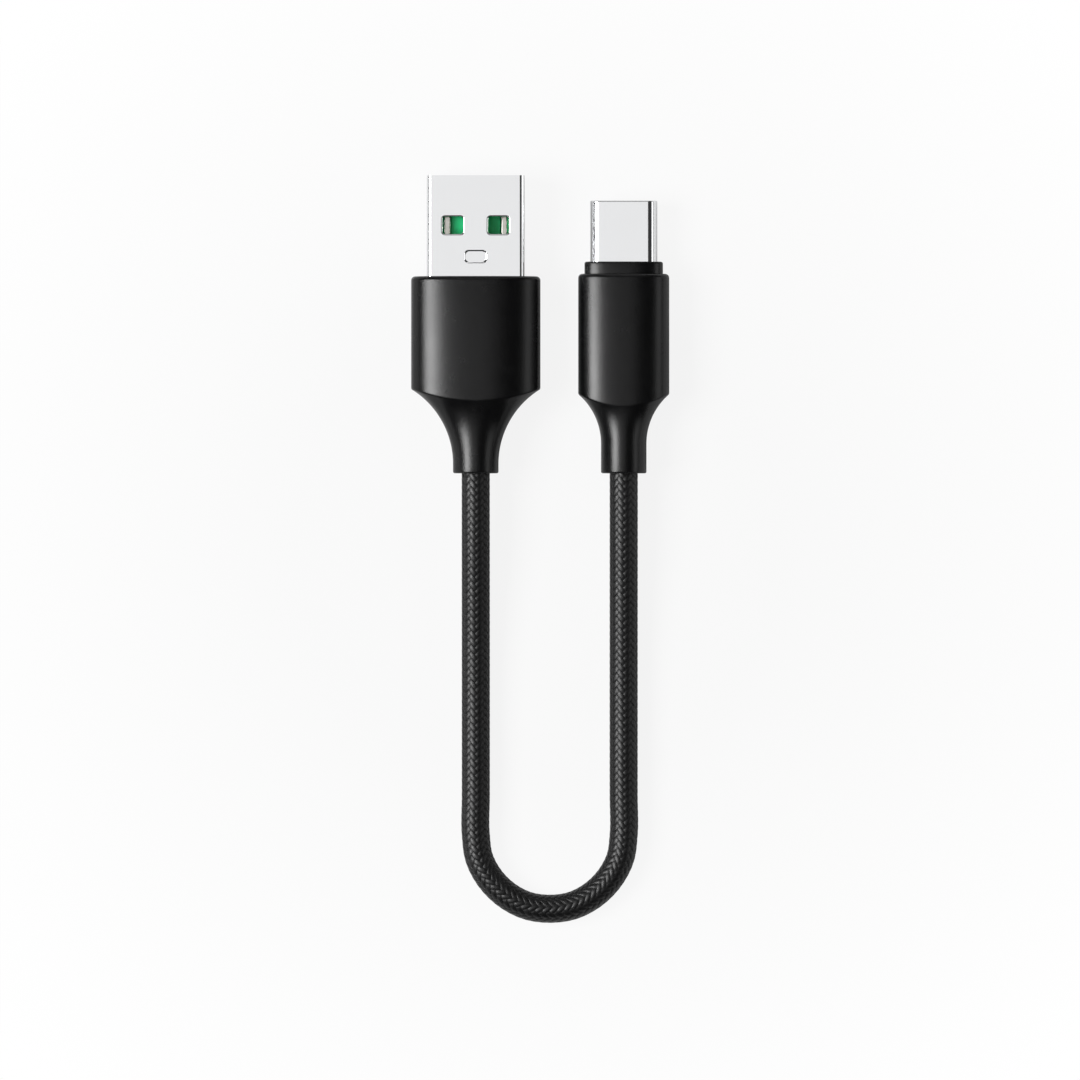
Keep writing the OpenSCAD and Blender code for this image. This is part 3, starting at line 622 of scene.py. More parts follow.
def outer_rings(plug, angle, neck_l, flare_r):
    """Rings over the neck, the flare and the body, and the number of the ring on the crease."""
    flare_l = math.sqrt(flare_r**2 - (flare_r - (plug.wide - NECK_D) / 2) ** 2)
    body = crowned(plug.wide, plug.thick)(angle)
    neck = np.full_like(angle, NECK_D / 2)
    bow = CREASE_BOW * (1 - (2 * body * np.cos(angle) / plug.wide) ** 2)
    rings = [ring_at(plug, 0.0, neck, angle)]
    for step in range(FLARE_STEPS + 1):
        along = flare_l * step / FLARE_STEPS
        reach = neck + flare_share(along, flare_r, plug.wide) * (body - neck)
        rings.append(ring_at(plug, neck_l + (flare_l - bow) * along / flare_l, reach, angle))
    crease = len(rings)
    front = plug.front_y - plug.exit_y
    for step in range(FRONT_STEPS + 1):
        tilt = math.pi / 2 * step / FRONT_STEPS
        inset = FRONT_ROUND * (1 - math.cos(tilt))
        reach = crowned(plug.wide - 2 * inset, plug.thick - 2 * inset)(angle)
        rings.append(ring_at(plug, front - FRONT_ROUND * (1 - math.sin(tilt)), reach, angle))
    return rings, crease


# %% Build a grip round its seats
def build_grip(name, plug, neck_l, flare_r, lip_l, opening, seats, pocket):
    """One closed skin: the grip's outside, then the opening, the mould's seat, the pocket and the bore.
    opening is the front opening's outline, seats is (start, outline) of the mould's space and pocket is
    the outline of the space that holds the wires."""
    angle = ring_angles(crowned(plug.wide, plug.thick))
    front = plug.front_y - plug.exit_y
    mould_y, mould = seats
    outside, crease = outer_rings(plug, angle, neck_l, flare_r)
    bore = np.full_like(angle, CORD_BORE_R)
    crimp = np.full_like(angle, CRIMP_BORE_R)
    inside = [
        (front, opening(angle)), (front - lip_l, opening(angle)),
        (front - lip_l, mould(angle)), (mould_y, mould(angle)),
        (mould_y, pocket(angle)), (CORD_IN, pocket(angle)),
        (CORD_IN, bore), (CRIMP_Y + CRIMP_L, bore), (CRIMP_Y + CRIMP_L, crimp), (CRIMP_Y, crimp),
        (CRIMP_Y, bore), (0.0, bore),
    ]
    rings = [ring_at(plug, 0.0, bore, angle)] + outside
    rings += [ring_at(plug, y, reach, angle) for y, reach in inside]
    obj = skin(name, rings)
    round_ring(obj, 1, NECK_ROUND)
    round_ring(obj, crease, CREASE_ROUND)
    return finish_skin(obj, angle_deg=30)


GAP = 2 * SEAT_GAP
HOST_MOULD_R = 2.7 * MM
POCKET_R = 0.6 * MM
HOST_POCKET = boxed(9.4 * MM, 3.2 * MM, POCKET_R)


def seat_of(node, plug, radius):
    """Start and outline of the space round a piece, with the seating gap."""
    low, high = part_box(node)
    return low.y - plug.exit_y - SEAT_GAP, fitted(node, GAP, radius + SEAT_GAP)


HOST_SHELL_R = 0.6 * MM
host_shell_low, host_shell_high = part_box("host_shell")
host_grip = build_grip(
    "host_grip", host, neck_l=1.15 * MM, flare_r=10.8 * MM, lip_l=1.0 * MM,
    opening=fitted("host_shell", GAP, HOST_SHELL_R + SEAT_GAP),
    seats=seat_of("host_inner_mould", host, HOST_MOULD_R), pocket=HOST_POCKET,
)

# %% Build the reversible plug's grip
NOSE_W = 9.65 * MM
NOSE_T = 3.9 * MM
MOULD_W = 10.0 * MM
MOULD_T = 5.0 * MM
MOULD_R = 2.05 * MM
NOSE_LIP_L = 0.8 * MM
WIRE_SPACE = boxed(6.4 * MM, 3.0 * MM, POCKET_R)
reversible_mould_low, reversible_mould_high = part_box("reversible_inner_mould")
mould_start = reversible_mould_low.y - reversible.exit_y
reversible_grip = build_grip(
    "reversible_grip", reversible, neck_l=3.65 * MM, flare_r=8.0 * MM, lip_l=NOSE_LIP_L,
    opening=crowned(NOSE_W + GAP, NOSE_T + GAP),
    seats=(mould_start - SEAT_GAP, boxed(MOULD_W + GAP, MOULD_T + GAP, MOULD_R + SEAT_GAP)),
    pocket=WIRE_SPACE,
)
print("grip faces:", len(host_grip.data.polygons), "and", len(reversible_grip.data.polygons))

# %% [markdown]
# ## The collar
# The reversible plug's inner mould stands out of the grip as a low oval collar round the shell. It is one
# skin too: over the block and its nose, and back through the shell's seat and the rear shield's space.

# %% Build the inner mould with its collar
NOSE_ROUND = 0.25 * MM
SHIELD_GAP_R = 0.05 * MM


def build_collar():
    angle = ring_angles(crowned(NOSE_W, NOSE_T))
    shell_low, shell_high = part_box("reversible_shell")
    shield_low, shield_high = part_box("upper_rear_shield")
    nose_y = reversible_mould_high.y - reversible.exit_y
    step_y = reversible.front_y - reversible.exit_y - NOSE_LIP_L
    shell_y = shell_low.y - reversible.exit_y
    shield_y = shield_low.y - reversible.exit_y
    shield_w = shield_high.x - shield_low.x + GAP
    shield_t = 2 * (shield_high.z - reversible.z) + GAP
    block = boxed(MOULD_W, MOULD_T, MOULD_R)(angle)
    nose = crowned(NOSE_W, NOSE_T)(angle)
    seat = fitted("reversible_shell", GAP)(angle)
    shield = boxed(shield_w, shield_t, SHIELD_GAP_R)(angle)
    wires = WIRE_SPACE(angle)
    rows = [
        (mould_start, wires), (mould_start, block), (step_y, block), (step_y, nose), (nose_y, nose),
        (nose_y, seat), (shell_y, seat), (shell_y, shield), (shield_y, shield), (shield_y, wires),
        (mould_start, wires),
    ]
    obj = skin("collar_mould", [ring_at(reversible, y, reach, angle) for y, reach in rows])
    round_ring(obj, 4, NOSE_ROUND)
    return finish_skin(obj, angle_deg=30)


collar_mould = build_collar()
print("collar faces:", len(collar_mould.data.polygons))

# %% [markdown]
# ## The host plug's shell
# The shell is folded from steel sheet: a flat tube with tight corners, two windows in each face that the
# socket's springs snap into, a pressed dimple, and a seam underneath. A box is opened at its ends, its long
# edges are bevelled, and it gets its wall. Cutters then take out the windows and the rest.

# %% Fold the shell
SHELL_WALL = 0.3 * MM
SHELL_EDGE = 0.05 * MM
CORNER_STEPS = 10


def add_box(name, low, high):
    """A box between two corners, with its place in its mesh."""
    low, high = Vector(low), Vector(high)
    bpy.ops.object.select_all(action="DESELECT")
    bpy.ops.mesh.primitive_cube_add(
        size=1.0, calc_uvs=False, location=(low + high) / 2, scale=high - low)
    obj = bpy.context.object
    obj.name = name
    obj.data.name = name
    bpy.ops.object.transform_apply(location=True, rotation=True, scale=True)
    return obj


def bevel_edges_along(obj, axis, offset, segments):
    """Bevels the edges that run along one axis, 0 to 2."""
    def runs_along(edge):
        first, second = (obj.data.vertices[number].co for number in edge.vertices)
        return abs((second - first).normalized()[axis]) > 0.99

    select_edges(obj, runs_along)
    bpy.ops.mesh.bevel(offset=offset, segments=segments, profile=0.5, affect="EDGES")
    leave_edit()


host_shell = add_box("folded_shell", host_shell_low, host_shell_high)
bevel_edges_along(host_shell, 1, HOST_SHELL_R, CORNER_STEPS)
select_faces(host_shell, lambda face: abs(face.normal.y) > FACING)
bpy.ops.mesh.delete(type="FACE")
leave_edit()
apply_modifier(host_shell, "SOLIDIFY", thickness=SHELL_WALL, offset=-1.0, use_even_offset=True)
print("shell walls", len(host_shell.data.polygons), "faces")

# %% Cut the windows, the dimples and the seam
WINDOW = Vector((2.7, 2.3, 0.42)) * MM
WINDOW_SIDE = 2.8 * MM
WINDOW_BACK = 6.15 * MM
DIMPLE = Vector((2.85, 1.65, 0.55)) * MM
DIMPLE_BACK = 10.0 * MM
DIMPLE_DEPTH = 0.15 * MM
DIMPLE_SLOPE = 0.165 * MM
WINDOW_ROUND = 0.22 * MM
RIM_STEEP = 0.1 * MM
SEAM_W = 0.08 * MM
PAST = 0.5 * MM
JOIN_DEG = 0.3


def upright_cutter(centre_x, centre_y, size, z_low, z_high):
    """An upright cutter with rounded corners."""
    half = Vector((size.x / 2, size.y / 2, 0.0))
    centre = Vector((centre_x, centre_y, 0.0))
    obj = add_box("cutter", centre - half + Vector((0, 0, z_low)), centre + half + Vector((0, 0, z_high)))
    bevel_edges_along(obj, 2, size.z, CORNER_STEPS)
    return obj


def cut_out(obj, cutter):
    """Takes the cutter's space out of obj and removes the cutter."""
    apply_modifier(obj, "BOOLEAN", operation="DIFFERENCE", solver="EXACT", object=cutter)
    bpy.data.objects.remove(cutter)


def narrow_end(obj, z_end, amount):
    """Draws in the end of a cutter at height z_end, so that the pressed wall slopes."""
    middle = sum((corner.co for corner in obj.data.vertices), Vector()) / len(obj.data.vertices)
    for corner in obj.data.vertices:
        if abs(corner.co.z - z_end) < MERGE:
            arm = corner.co - middle
            corner.co.x -= math.copysign(amount, arm.x)
            corner.co.y -= math.copysign(amount, arm.y)


tip_y = host_shell_high.y
window_hole = WINDOW - Vector((2, 2, 1)) * RIM_STEEP
for side in (-1, 1):
    window = upright_cutter(
        host.x + side * WINDOW_SIDE, tip_y - WINDOW_BACK, window_hole, host_shell_low.z - PAST,
        host_shell_high.z + PAST,
    )
    cut_out(host_shell, window)
for side, face_z in ((1, host_shell_high.z), (-1, host_shell_low.z)):
    floor_z = face_z - side * DIMPLE_DEPTH
    mouth_z = face_z + side * DIMPLE_DEPTH
    wider = Vector((DIMPLE.x + 2 * DIMPLE_SLOPE, DIMPLE.y + 2 * DIMPLE_SLOPE, DIMPLE.z))
    dimple = upright_cutter(
        host.x, tip_y - DIMPLE_BACK, wider, min(floor_z, mouth_z), max(floor_z, mouth_z)
    )
    narrow_end(dimple, floor_z, 2 * DIMPLE_SLOPE)
    cut_out(host_shell, dimple)


def join_flat_faces(obj):
    """Joins faces that lie in one plane, so that no sliver among them is shaded on its own."""
    edit(obj)
    bpy.ops.mesh.select_all(action="SELECT")
    bpy.ops.mesh.dissolve_limited(angle_limit=math.radians(JOIN_DEG))
    leave_edit()


def on_window_rim(edge):
    """Whether an edge of the shell runs round a window, on the outside."""
    for number in edge.vertices:
        corner = host_shell.data.vertices[number].co
        outside = min(abs(corner.z - host_shell_low.z), abs(corner.z - host_shell_high.z)) < MERGE
        off_x = abs(abs(corner.x - host.x) - WINDOW_SIDE) - WINDOW.x / 2
        off_y = abs(corner.y - (tip_y - WINDOW_BACK)) - WINDOW.y / 2
        if not outside or max(off_x, off_y) > MERGE:
            return False
    return True


join_flat_faces(host_shell)
select_edges(host_shell, on_window_rim)
bpy.ops.mesh.bevel(offset=WINDOW_ROUND, segments=5, profile=0.5, affect="EDGES")
leave_edit()
seam = add_box(
    "cutter", (host.x - SEAM_W / 2, host_shell_low.y - PAST, host_shell_low.z - PAST),
    (host.x + SEAM_W / 2, tip_y + PAST, host.z),
)
cut_out(host_shell, seam)
join_flat_faces(host_shell)
round_sharp(host_shell, SHELL_EDGE, angle_deg=25)
print("folded shell", len(host_shell.data.polygons), "faces")

# %% [markdown]
# ## The reversible plug's shell
# This shell is drawn, not folded, so it has no seam: an oval tube with full round sides and a rolled lip at
# the mouth. It is a skin over rings again, and the lip is a bevel on its front rings.

# %% Draw the oval shell
OVAL_WALL = 0.2 * MM
LIP_ROUND = 0.16 * MM
LIP_INNER_ROUND = 0.03 * MM


def build_oval_shell():
    shell_low, shell_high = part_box("reversible_shell")
    oval = fitted("reversible_shell", 0.0)
    angle = ring_angles(oval)
    outer = oval(angle)
    inner = fitted("reversible_shell", -2 * OVAL_WALL)(angle)
    back_y = shell_low.y - reversible.exit_y
    mouth_y = shell_high.y - reversible.exit_y
    rows = [(back_y, inner), (back_y, outer), (mouth_y, outer), (mouth_y, inner), (back_y, inner)]
    obj = skin("drawn_shell", [ring_at(reversible, y, reach, angle) for y, reach in rows])
    round_ring(obj, 2, LIP_ROUND, 6)
    round_ring(obj, 3, LIP_INNER_ROUND, 3)
    return finish_skin(obj, angle_deg=35)


drawn_shell = build_oval_shell()
print("drawn shell", len(drawn_shell.data.polygons), "faces")

# %% [markdown]
# ## The host plug's contacts
# Each contact is a strip of plated metal with coined edges: a flat top with slopes all round that lead the
# mating contact on. A box is added, its top is inset and raised, and the edges are bevelled.

# %% Coin the four contacts
COIN_IN = 0.24 * MM
COIN_RISE = 0.2 * MM
CONTACT_EDGE = 0.03 * MM


def build_contact(node):
    low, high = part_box(node)
    shoulder = Vector((high.x, high.y, high.z - COIN_RISE))
    obj = add_box(f"{node}_strip", low, shoulder)
    select_faces(obj, lambda face: face.normal.z > FACING)
    bpy.ops.mesh.inset(thickness=COIN_IN, depth=COIN_RISE)
    leave_edit()
    round_sharp(obj, CONTACT_EDGE, angle_deg=12)
    return obj


host_contacts = {}
for role in ("supply", "data_minus", "data_plus", "ground"):
    host_contacts[f"host_{role}_contact"] = build_contact(f"host_{role}_contact")
print("contacts:", len(host_contacts))

# %% [markdown]
# ## The small parts inside
# The solid model already has these parts' shapes, with edges as sharp as a drawing's. Real moulded and
# stamped parts have a small radius everywhere, and that is what catches light. A copy of each solid is
# merged, its flat faces are joined up, and its edges are bevelled.

# %% Round the edges of a solid's copy
MERGE_CAD = 0.0005 * MM
JOIN_CAD_DEG = 0.5


def soften(node, name, width):
    """A merged copy of a CAD node with every sharp edge rounded by this much."""
    source = frame["nodes"][node]
    obj = bpy.data.objects.new(name, source.data.copy())
    obj.data.name = name
    bpy.context.scene.collection.objects.link(obj)
    edit(obj)
    bpy.ops.mesh.select_all(action="SELECT")
    bpy.ops.mesh.remove_doubles(threshold=MERGE_CAD)
    bpy.ops.mesh.dissolve_limited(angle_limit=math.radians(JOIN_CAD_DEG))
    leave_edit()
    round_sharp(obj, width, angle_deg=30, segments=2)
    return obj


SOFTENED = {
    "host_inner_mould": ("host_core_mould", 0.1, "mould_plastic"),
    "host_insulator": ("tongue_block", 0.04, "tongue_plastic"),
    "host_crimp_ring": ("host_crimp", 0.05, "tinned_steel"),
    "reversible_insulator": ("slotted_block", 0.02, "insulator_plastic"),
    "upper_contacts": ("upper_contact_row", 0.025, "contact_gold"),
    "lower_contacts": ("lower_contact_row", 0.025, "contact_gold"),
    "latch_plate": ("middle_plate", 0.03, "spring_steel"),
    "left_latch_arm": ("left_latch_spring", 0.03, "spring_steel"),
    "right_latch_arm": ("right_latch_spring", 0.03, "spring_steel"),
    "upper_ground_spring": ("upper_ground_plate", 0.03, "spring_steel"),
    "lower_ground_spring": ("lower_ground_plate", 0.03, "spring_steel"),
    "circuit_board": ("board", 0.05, "board_laminate"),
    "pull_up_resistor": ("resistor", 0.04, "resistor_black"),
    "upper_rear_shield": ("upper_shield_half", 0.05, "tinned_steel"),
    "lower_rear_shield": ("lower_shield_half", 0.05, "tinned_steel"),
    "reversible_crimp_ring": ("reversible_crimp", 0.05, "tinned_steel"),
}
softened = {node: soften(node, name, width * MM) for node, (name, width, slot) in SOFTENED.items()}
print("small parts:", len(softened))

# %% [markdown]
# ## Marks for wear
# Handled edges lose their texture first. How strongly a corner of the mesh stands out is worked out from
# its normal and its neighbours, and stored with the mesh, where the finishes can read it.

# %% Store how sharp each corner is
BLUNT = 2600.0
SHARP = 6000.0


def mark_edges(obj):
    """Stores 0 on flat and hollow places and up to 1 on tight outward edges, as the attribute wear."""
    mesh = obj.data
    place, normal = np.empty((2, len(mesh.vertices) * 3), np.float32)
    mesh.vertices.foreach_get("co", place)
    mesh.vertex_normals.foreach_get("vector", normal)
    place, normal = (rows.reshape(-1, 3).astype(float) for rows in (place, normal))
    ends = np.empty(len(mesh.edges) * 2, np.int32)
    mesh.edges.foreach_get("vertices", ends)
    first, second = ends.reshape(-1, 2).T
    way = place[second] - place[first]
    length_squared = np.maximum((way**2).sum(1), 1e-14)
    bend = np.zeros(len(place))
    np.maximum.at(bend, first, -2 * (way * normal[first]).sum(1) / length_squared)
    np.maximum.at(bend, second, 2 * (way * normal[second]).sum(1) / length_squared)
    wear = np.clip((bend - BLUNT) / (SHARP - BLUNT), 0.0, 1.0)
    mark = mesh.attributes.new("wear", "FLOAT", "POINT")
    mark.data.foreach_set("value", wear.astype(np.float32))


worn = [host_grip, reversible_grip, collar_mould, host_shell, drawn_shell, *host_contacts.values()]
for piece in worn:
    mark_edges(piece)
print("pieces with wear marks:", len(worn))

# %% [markdown]
# ## Shared finishing effects
# Several finishes need the same effects at their own scale: the fine grain of a moulded surface, the drawn
# lines of sheet and wire, soft handling marks, and worn edges. Each effect is a group of nodes, made once.
# It gives out masks and heights only, and each finish decides what to do with them.

# %% Helpers for nodes
def add_node(tree, kind, inputs=None, **settings):
    """A shader node with these settings. Each input takes a socket to link from, or a plain value."""
    node = tree.nodes.new("ShaderNode" + kind)
    for name, value in settings.items():
        setattr(node, name, value)
    for key, value in (inputs or {}).items():
        if isinstance(value, bpy.types.NodeSocket):
            tree.links.new(value, node.inputs[key])
        else:
            node.inputs[key].default_value = value
    return node


def add_math(tree, operation, first, second, clamp=False):
    """Output of a Math node whose two inputs are sockets or numbers."""
    given = {0: first, 1: second}
    return add_node(tree, "Math", given, operation=operation, use_clamp=clamp).outputs["Value"]


def add_noise(tree, vector, scale, detail=2.0, roughness=0.5):
    """Grey output of a Noise Texture node."""
    given = {"Vector": vector, "Scale": scale, "Detail": detail, "Roughness": roughness}
    return add_node(tree, "TexNoise", given).outputs["Fac"]


def add_range(tree, value, low, high, to_low=0.0, to_high=1.0):
    """Output of a Map Range node that is held between its ends."""
    given = {"Value": value, "From Min": low, "From Max": high, "To Min": to_low, "To Max": to_high}
    return add_node(tree, "MapRange", given, clamp=True).outputs["Result"]


def add_mix(tree, share, first, second):
    """Output of a Mix node between two colours."""
    given = {"Factor": share, "A": first, "B": second}
    return add_node(tree, "Mix", given, data_type="RGBA").outputs["Result"]


def new_group(name, inputs, outputs):
    """An empty node group with a Vector input, number inputs and number outputs."""
    group = bpy.data.node_groups.new(name, "ShaderNodeTree")
    group.interface.new_socket(name="Vector", in_out="INPUT", socket_type="NodeSocketVector")
    for in_out, labels in (("INPUT", inputs), ("OUTPUT", outputs)):
        for label in labels:
            group.interface.new_socket(name=label, in_out=in_out, socket_type="NodeSocketFloat")
    return group, group.nodes.new("NodeGroupInput").outputs, group.nodes.new("NodeGroupOutput").inputs


# %% Grain, drawn lines, handling marks and worn edges
LINE_STRETCH = (1.0, 0.03, 1.0)
BROAD_SHARE = 0.12


def make_grain_group():
    """Fine pebbled grain, as etched into a mould."""
    group, given, result = new_group("fine_grain", ["Per Metre"], ["Height", "Mottle"])
    fine = add_noise(group, given["Vector"], given["Per Metre"], 2.0, 0.55)
    broad_scale = add_math(group, "MULTIPLY", given["Per Metre"], BROAD_SHARE)
    broad = add_noise(group, given["Vector"], broad_scale, 3.0)
    group.links.new(add_range(group, fine, 0.3, 0.7), result["Height"])
    group.links.new(add_range(group, broad, 0.35, 0.65), result["Mottle"])
    return group


def make_line_group():
    """Long fine lines along Y, as left on metal that is rolled or drawn."""
    group, given, result = new_group("drawn_lines", ["Per Metre"], ["Height", "Mask"])
    stretch = add_node(group, "Mapping", {"Vector": given["Vector"], "Scale": LINE_STRETCH})
    lines = add_noise(group, stretch.outputs["Vector"], given["Per Metre"], 3.0, 0.6)
    group.links.new(add_range(group, lines, 0.3, 0.7), result["Height"])
    group.links.new(add_range(group, lines, 0.55, 0.75), result["Mask"])
    return group


def make_handling_group():
    """Broad soft patches where fingers have polished or dulled a surface."""
    group, given, result = new_group("handling", ["Per Metre"], ["Mask"])
    patches = add_noise(group, given["Vector"], given["Per Metre"], 4.0, 0.6)
    group.links.new(add_range(group, patches, 0.4, 0.68), result["Mask"])
    return group


def make_wear_group():
    """Broken wear along edges: the stored mark, eaten into by noise."""
    group, given, result = new_group("edge_wear", ["Edge", "Per Metre"], ["Mask"])
    broken = add_noise(group, given["Vector"], given["Per Metre"], 4.0, 0.65)
    bite = add_range(group, broken, 0.42, 0.62)
    group.links.new(add_math(group, "MULTIPLY", given["Edge"], bite, True), result["Mask"])
    return group


GROUPS = {
    "grain": make_grain_group(), "lines": make_line_group(),
    "handling": make_handling_group(), "wear": make_wear_group(),
}
print("node groups:", ", ".join(GROUPS))

# %% [markdown]
# ## Finishes
# A finish starts from plain numbers on the shader, and the groups then vary colour, roughness and surface
# height over the piece. Object coordinates are in metres, so every scale is a real count per metre.

# %% Helpers for finishes
def new_finish(name, colour, roughness, metallic=0.0, ior=1.5):
    """A material whose Principled shader starts from plain numbers, with its coordinates at hand."""
    material = bpy.data.materials.new(name)
    material.use_nodes = True
    tree = material.node_tree
    shader = tree.nodes["Principled BSDF"].inputs
    start = {"Base Color": (*colour, 1.0), "Roughness": roughness, "Metallic": metallic, "IOR": ior}
    for label, value in start.items():
        shader[label].default_value = value
    coordinates = add_node(tree, "TexCoord").outputs
    return SimpleNamespace(
        material=material, tree=tree, shader=shader, colour=colour, roughness=roughness,
        object=coordinates["Object"], uv=coordinates["UV"],
    )


def use_group(finish, key, per_metre, **more):
    """Outputs of one shared group in a finish, at its own scale."""
    given = {"Vector": finish.object, "Per Metre": per_metre, **more}
    return add_node(finish.tree, "Group", given, node_tree=GROUPS[key]).outputs


def stored_mark(finish, name):
    """A value stored with the mesh."""
    return add_node(finish.tree, "Attribute", attribute_name=name).outputs["Fac"]


def so_far(socket, plain):
    """What feeds a socket, or its plain value if nothing does yet."""
    return socket.links[0].from_socket if socket.is_linked else plain


def vary_colour(finish, mask, other, amount):
    """Mixes the finish's colour so far towards another colour where the mask is high."""
    base = finish.shader["Base Color"]
    share = add_math(finish.tree, "MULTIPLY", mask, amount)
    mixed = add_mix(finish.tree, share, so_far(base, (*finish.colour, 1.0)), (*other, 1.0))
    finish.tree.links.new(mixed, base)


def vary_roughness(finish, mask, change):
    """Adds a change to the finish's roughness so far where the mask is high."""
    rough = finish.shader["Roughness"]
    moved = add_math(finish.tree, "MULTIPLY", mask, change)
    finish.tree.links.new(add_math(finish.tree, "ADD", moved, so_far(rough, finish.roughness), True), rough)


def raise_surface(finish, height, strength, distance):
    """Adds a bump to the finish, on top of any that it has."""
    normal = finish.shader["Normal"]
    given = {"Strength": strength, "Distance": distance, "Height": height}
    if normal.is_linked:
        given["Normal"] = normal.links[0].from_socket
    finish.tree.links.new(add_node(finish.tree, "Bump", given).outputs["Normal"], normal)


def add_wave(finish, value, count):
    """A sine wave with this many turns for each unit of a value."""
    turns = add_math(finish.tree, "MULTIPLY", value, 2 * math.pi * count)
    return add_math(finish.tree, "SINE", turns, 0.0)


# %% [markdown]
# The grips are a soft black elastomer with a satin face: very dark, with a finely etched grain that breaks
# the edge of each highlight, and a trace of polish where fingers hold it. The collar's grain is finer and
# shallower.

# %% Moulded plastics
HANDLED_PER_METRE = 240.0
WORN_PER_METRE = 2600.0


def make_moulded(name, colour, roughness, grain_per_metre, grain_height, worn_colour, ior):
    """A moulded surface with etched grain, handling marks and worn edges. The grain's height is in mm."""
    finish = new_finish(name, colour, roughness, ior=ior)
    grain = use_group(finish, "grain", grain_per_metre)
    handled = use_group(finish, "handling", HANDLED_PER_METRE)
    wear = use_group(finish, "wear", WORN_PER_METRE, Edge=stored_mark(finish, "wear"))
    vary_colour(finish, grain["Mottle"], worn_colour, 0.07)
    vary_colour(finish, wear["Mask"], worn_colour, 0.35)
    vary_roughness(finish, grain["Mottle"], 0.03)
    vary_roughness(finish, handled["Mask"], -0.04)
    raise_surface(finish, grain["Height"], 0.35, grain_height * MM)
    return finish.material


BLACK = (0.0018, 0.0018, 0.002)
WORN_BLACK = (0.014, 0.014, 0.015)
DARK_GREY = (0.03, 0.03, 0.03)
MOULDED = {
    "grip_plastic": (BLACK, 0.25, 8000.0, 0.022, WORN_BLACK, 1.39),
    "collar_plastic": (BLACK, 0.25, 9000.0, 0.014, WORN_BLACK, 1.4),
    "mould_plastic": ((0.78, 0.77, 0.7), 0.38, 6000.0, 0.012, (0.62, 0.6, 0.53), 1.5),
    "tongue_plastic": ((0.012, 0.6, 0.21), 0.4, 9000.0, 0.006, (0.03, 0.5, 0.2), 1.4),
    "insulator_plastic": ((0.01, 0.01, 0.011), 0.4, 9000.0, 0.006, DARK_GREY, 1.5),
    "jacket_rubber": ((0.012, 0.012, 0.012), 0.5, 5000.0, 0.015, DARK_GREY, 1.5),
    "resistor_black": ((0.02, 0.02, 0.022), 0.45, 12000.0, 0.006, (0.5, 0.5, 0.48), 1.5),
}
WIRE_COLOURS = {
    "red": (0.45, 0.02, 0.015), "black": (0.01, 0.01, 0.01), "white": (0.75, 0.74, 0.7),
    "green": (0.02, 0.3, 0.06),
}
for colour, tint in WIRE_COLOURS.items():
    MOULDED[f"wire_{colour}"] = (tint, 0.42, 6000.0, 0.008, tuple(0.7 * part for part in tint), 1.52)
finishes = {name: make_moulded(name, *values) for name, values in MOULDED.items()}
print("moulded finishes:", len(finishes))

# %% [markdown]
# The shells are nickel-plated steel: nearly white and close to polished, with faint lines from the rolling
# mill and slightly darker worn edges. The springs, shields, contacts and wire cores are other metals with
# the same kind of lines.

# %% Metals
SMUDGES_PER_METRE = 300.0
RUBBED_PER_METRE = 3000.0


def make_metal(name, colour, roughness, lines_per_metre, line_height, worn_colour, wear_amount):
    """A rolled or drawn metal with fine lines, smudges and rubbed edges. The lines' height is in mm."""
    finish = new_finish(name, colour, roughness, metallic=1.0)
    lines = use_group(finish, "lines", lines_per_metre)
    smudge = use_group(finish, "handling", SMUDGES_PER_METRE)
    wear = use_group(finish, "wear", RUBBED_PER_METRE, Edge=stored_mark(finish, "wear"))
    vary_colour(finish, lines["Mask"], worn_colour, 0.25)
    vary_colour(finish, wear["Mask"], worn_colour, wear_amount)
    vary_roughness(finish, smudge["Mask"], 0.02)
    raise_surface(finish, lines["Height"], 0.15, line_height * MM)
    return finish.material


METALS = {
    "shell_steel": ((0.91, 0.915, 0.925), 0.08, 9000.0, 0.0008, (0.86, 0.86, 0.86), 0.3),
    "contact_gold": ((0.6, 0.58, 0.53), 0.18, 12000.0, 0.002, (0.74, 0.73, 0.7), 0.4),
    "spring_steel": ((0.72, 0.72, 0.73), 0.24, 12000.0, 0.003, (0.6, 0.6, 0.6), 0.5),
    "tinned_steel": ((0.75, 0.75, 0.74), 0.35, 7000.0, 0.006, (0.6, 0.6, 0.58), 0.5),
    "wire_copper": ((0.88, 0.45, 0.28), 0.25, 14000.0, 0.004, (0.7, 0.33, 0.2), 0.5),
}
for name, values in METALS.items():
    finishes[name] = make_metal(name, *values)
print("metals:", len(METALS))

# %% [markdown]
# The circuit board is glass cloth in green resin, so a fine square weave shows faintly under its gloss.

# %% Board laminate
THREADS_PER_METRE = 2600.0


def make_laminate():
    finish = new_finish("board_laminate", (0.01, 0.09, 0.03), 0.3, ior=1.55)
    grain = use_group(finish, "grain", 4000.0)
    split = add_node(finish.tree, "SeparateXYZ", {"Vector": finish.object}).outputs
    threads = [add_wave(finish, split[axis], THREADS_PER_METRE) for axis in ("X", "Y")]
    weave_height = add_math(finish.tree, "MULTIPLY", *threads)
    vary_colour(finish, add_range(finish.tree, weave_height, -0.6, 0.9), (0.02, 0.15, 0.05), 0.5)
    vary_roughness(finish, grain["Mottle"], 0.1)
    raise_surface(finish, weave_height, 0.2, 0.004 * MM)
    return finish.material


finishes["board_laminate"] = make_laminate()
print("board laminate ready")

# %% [markdown]
# Each bundle of the braid is a few dozen nylon filaments side by side. The ribbon's own coordinates run
# across and along it, so fine ridges can follow every bundle round the cord. Nylon is black with a satin
# gloss, which gives the sleeve its silvery flecks. Where a bundle dips under its partners its colour is
# made darker still: that is painted shade in the hollows of the weave. The rougher finish there is real.

# %% Braided nylon
FILAMENTS_ROUND = 22.0


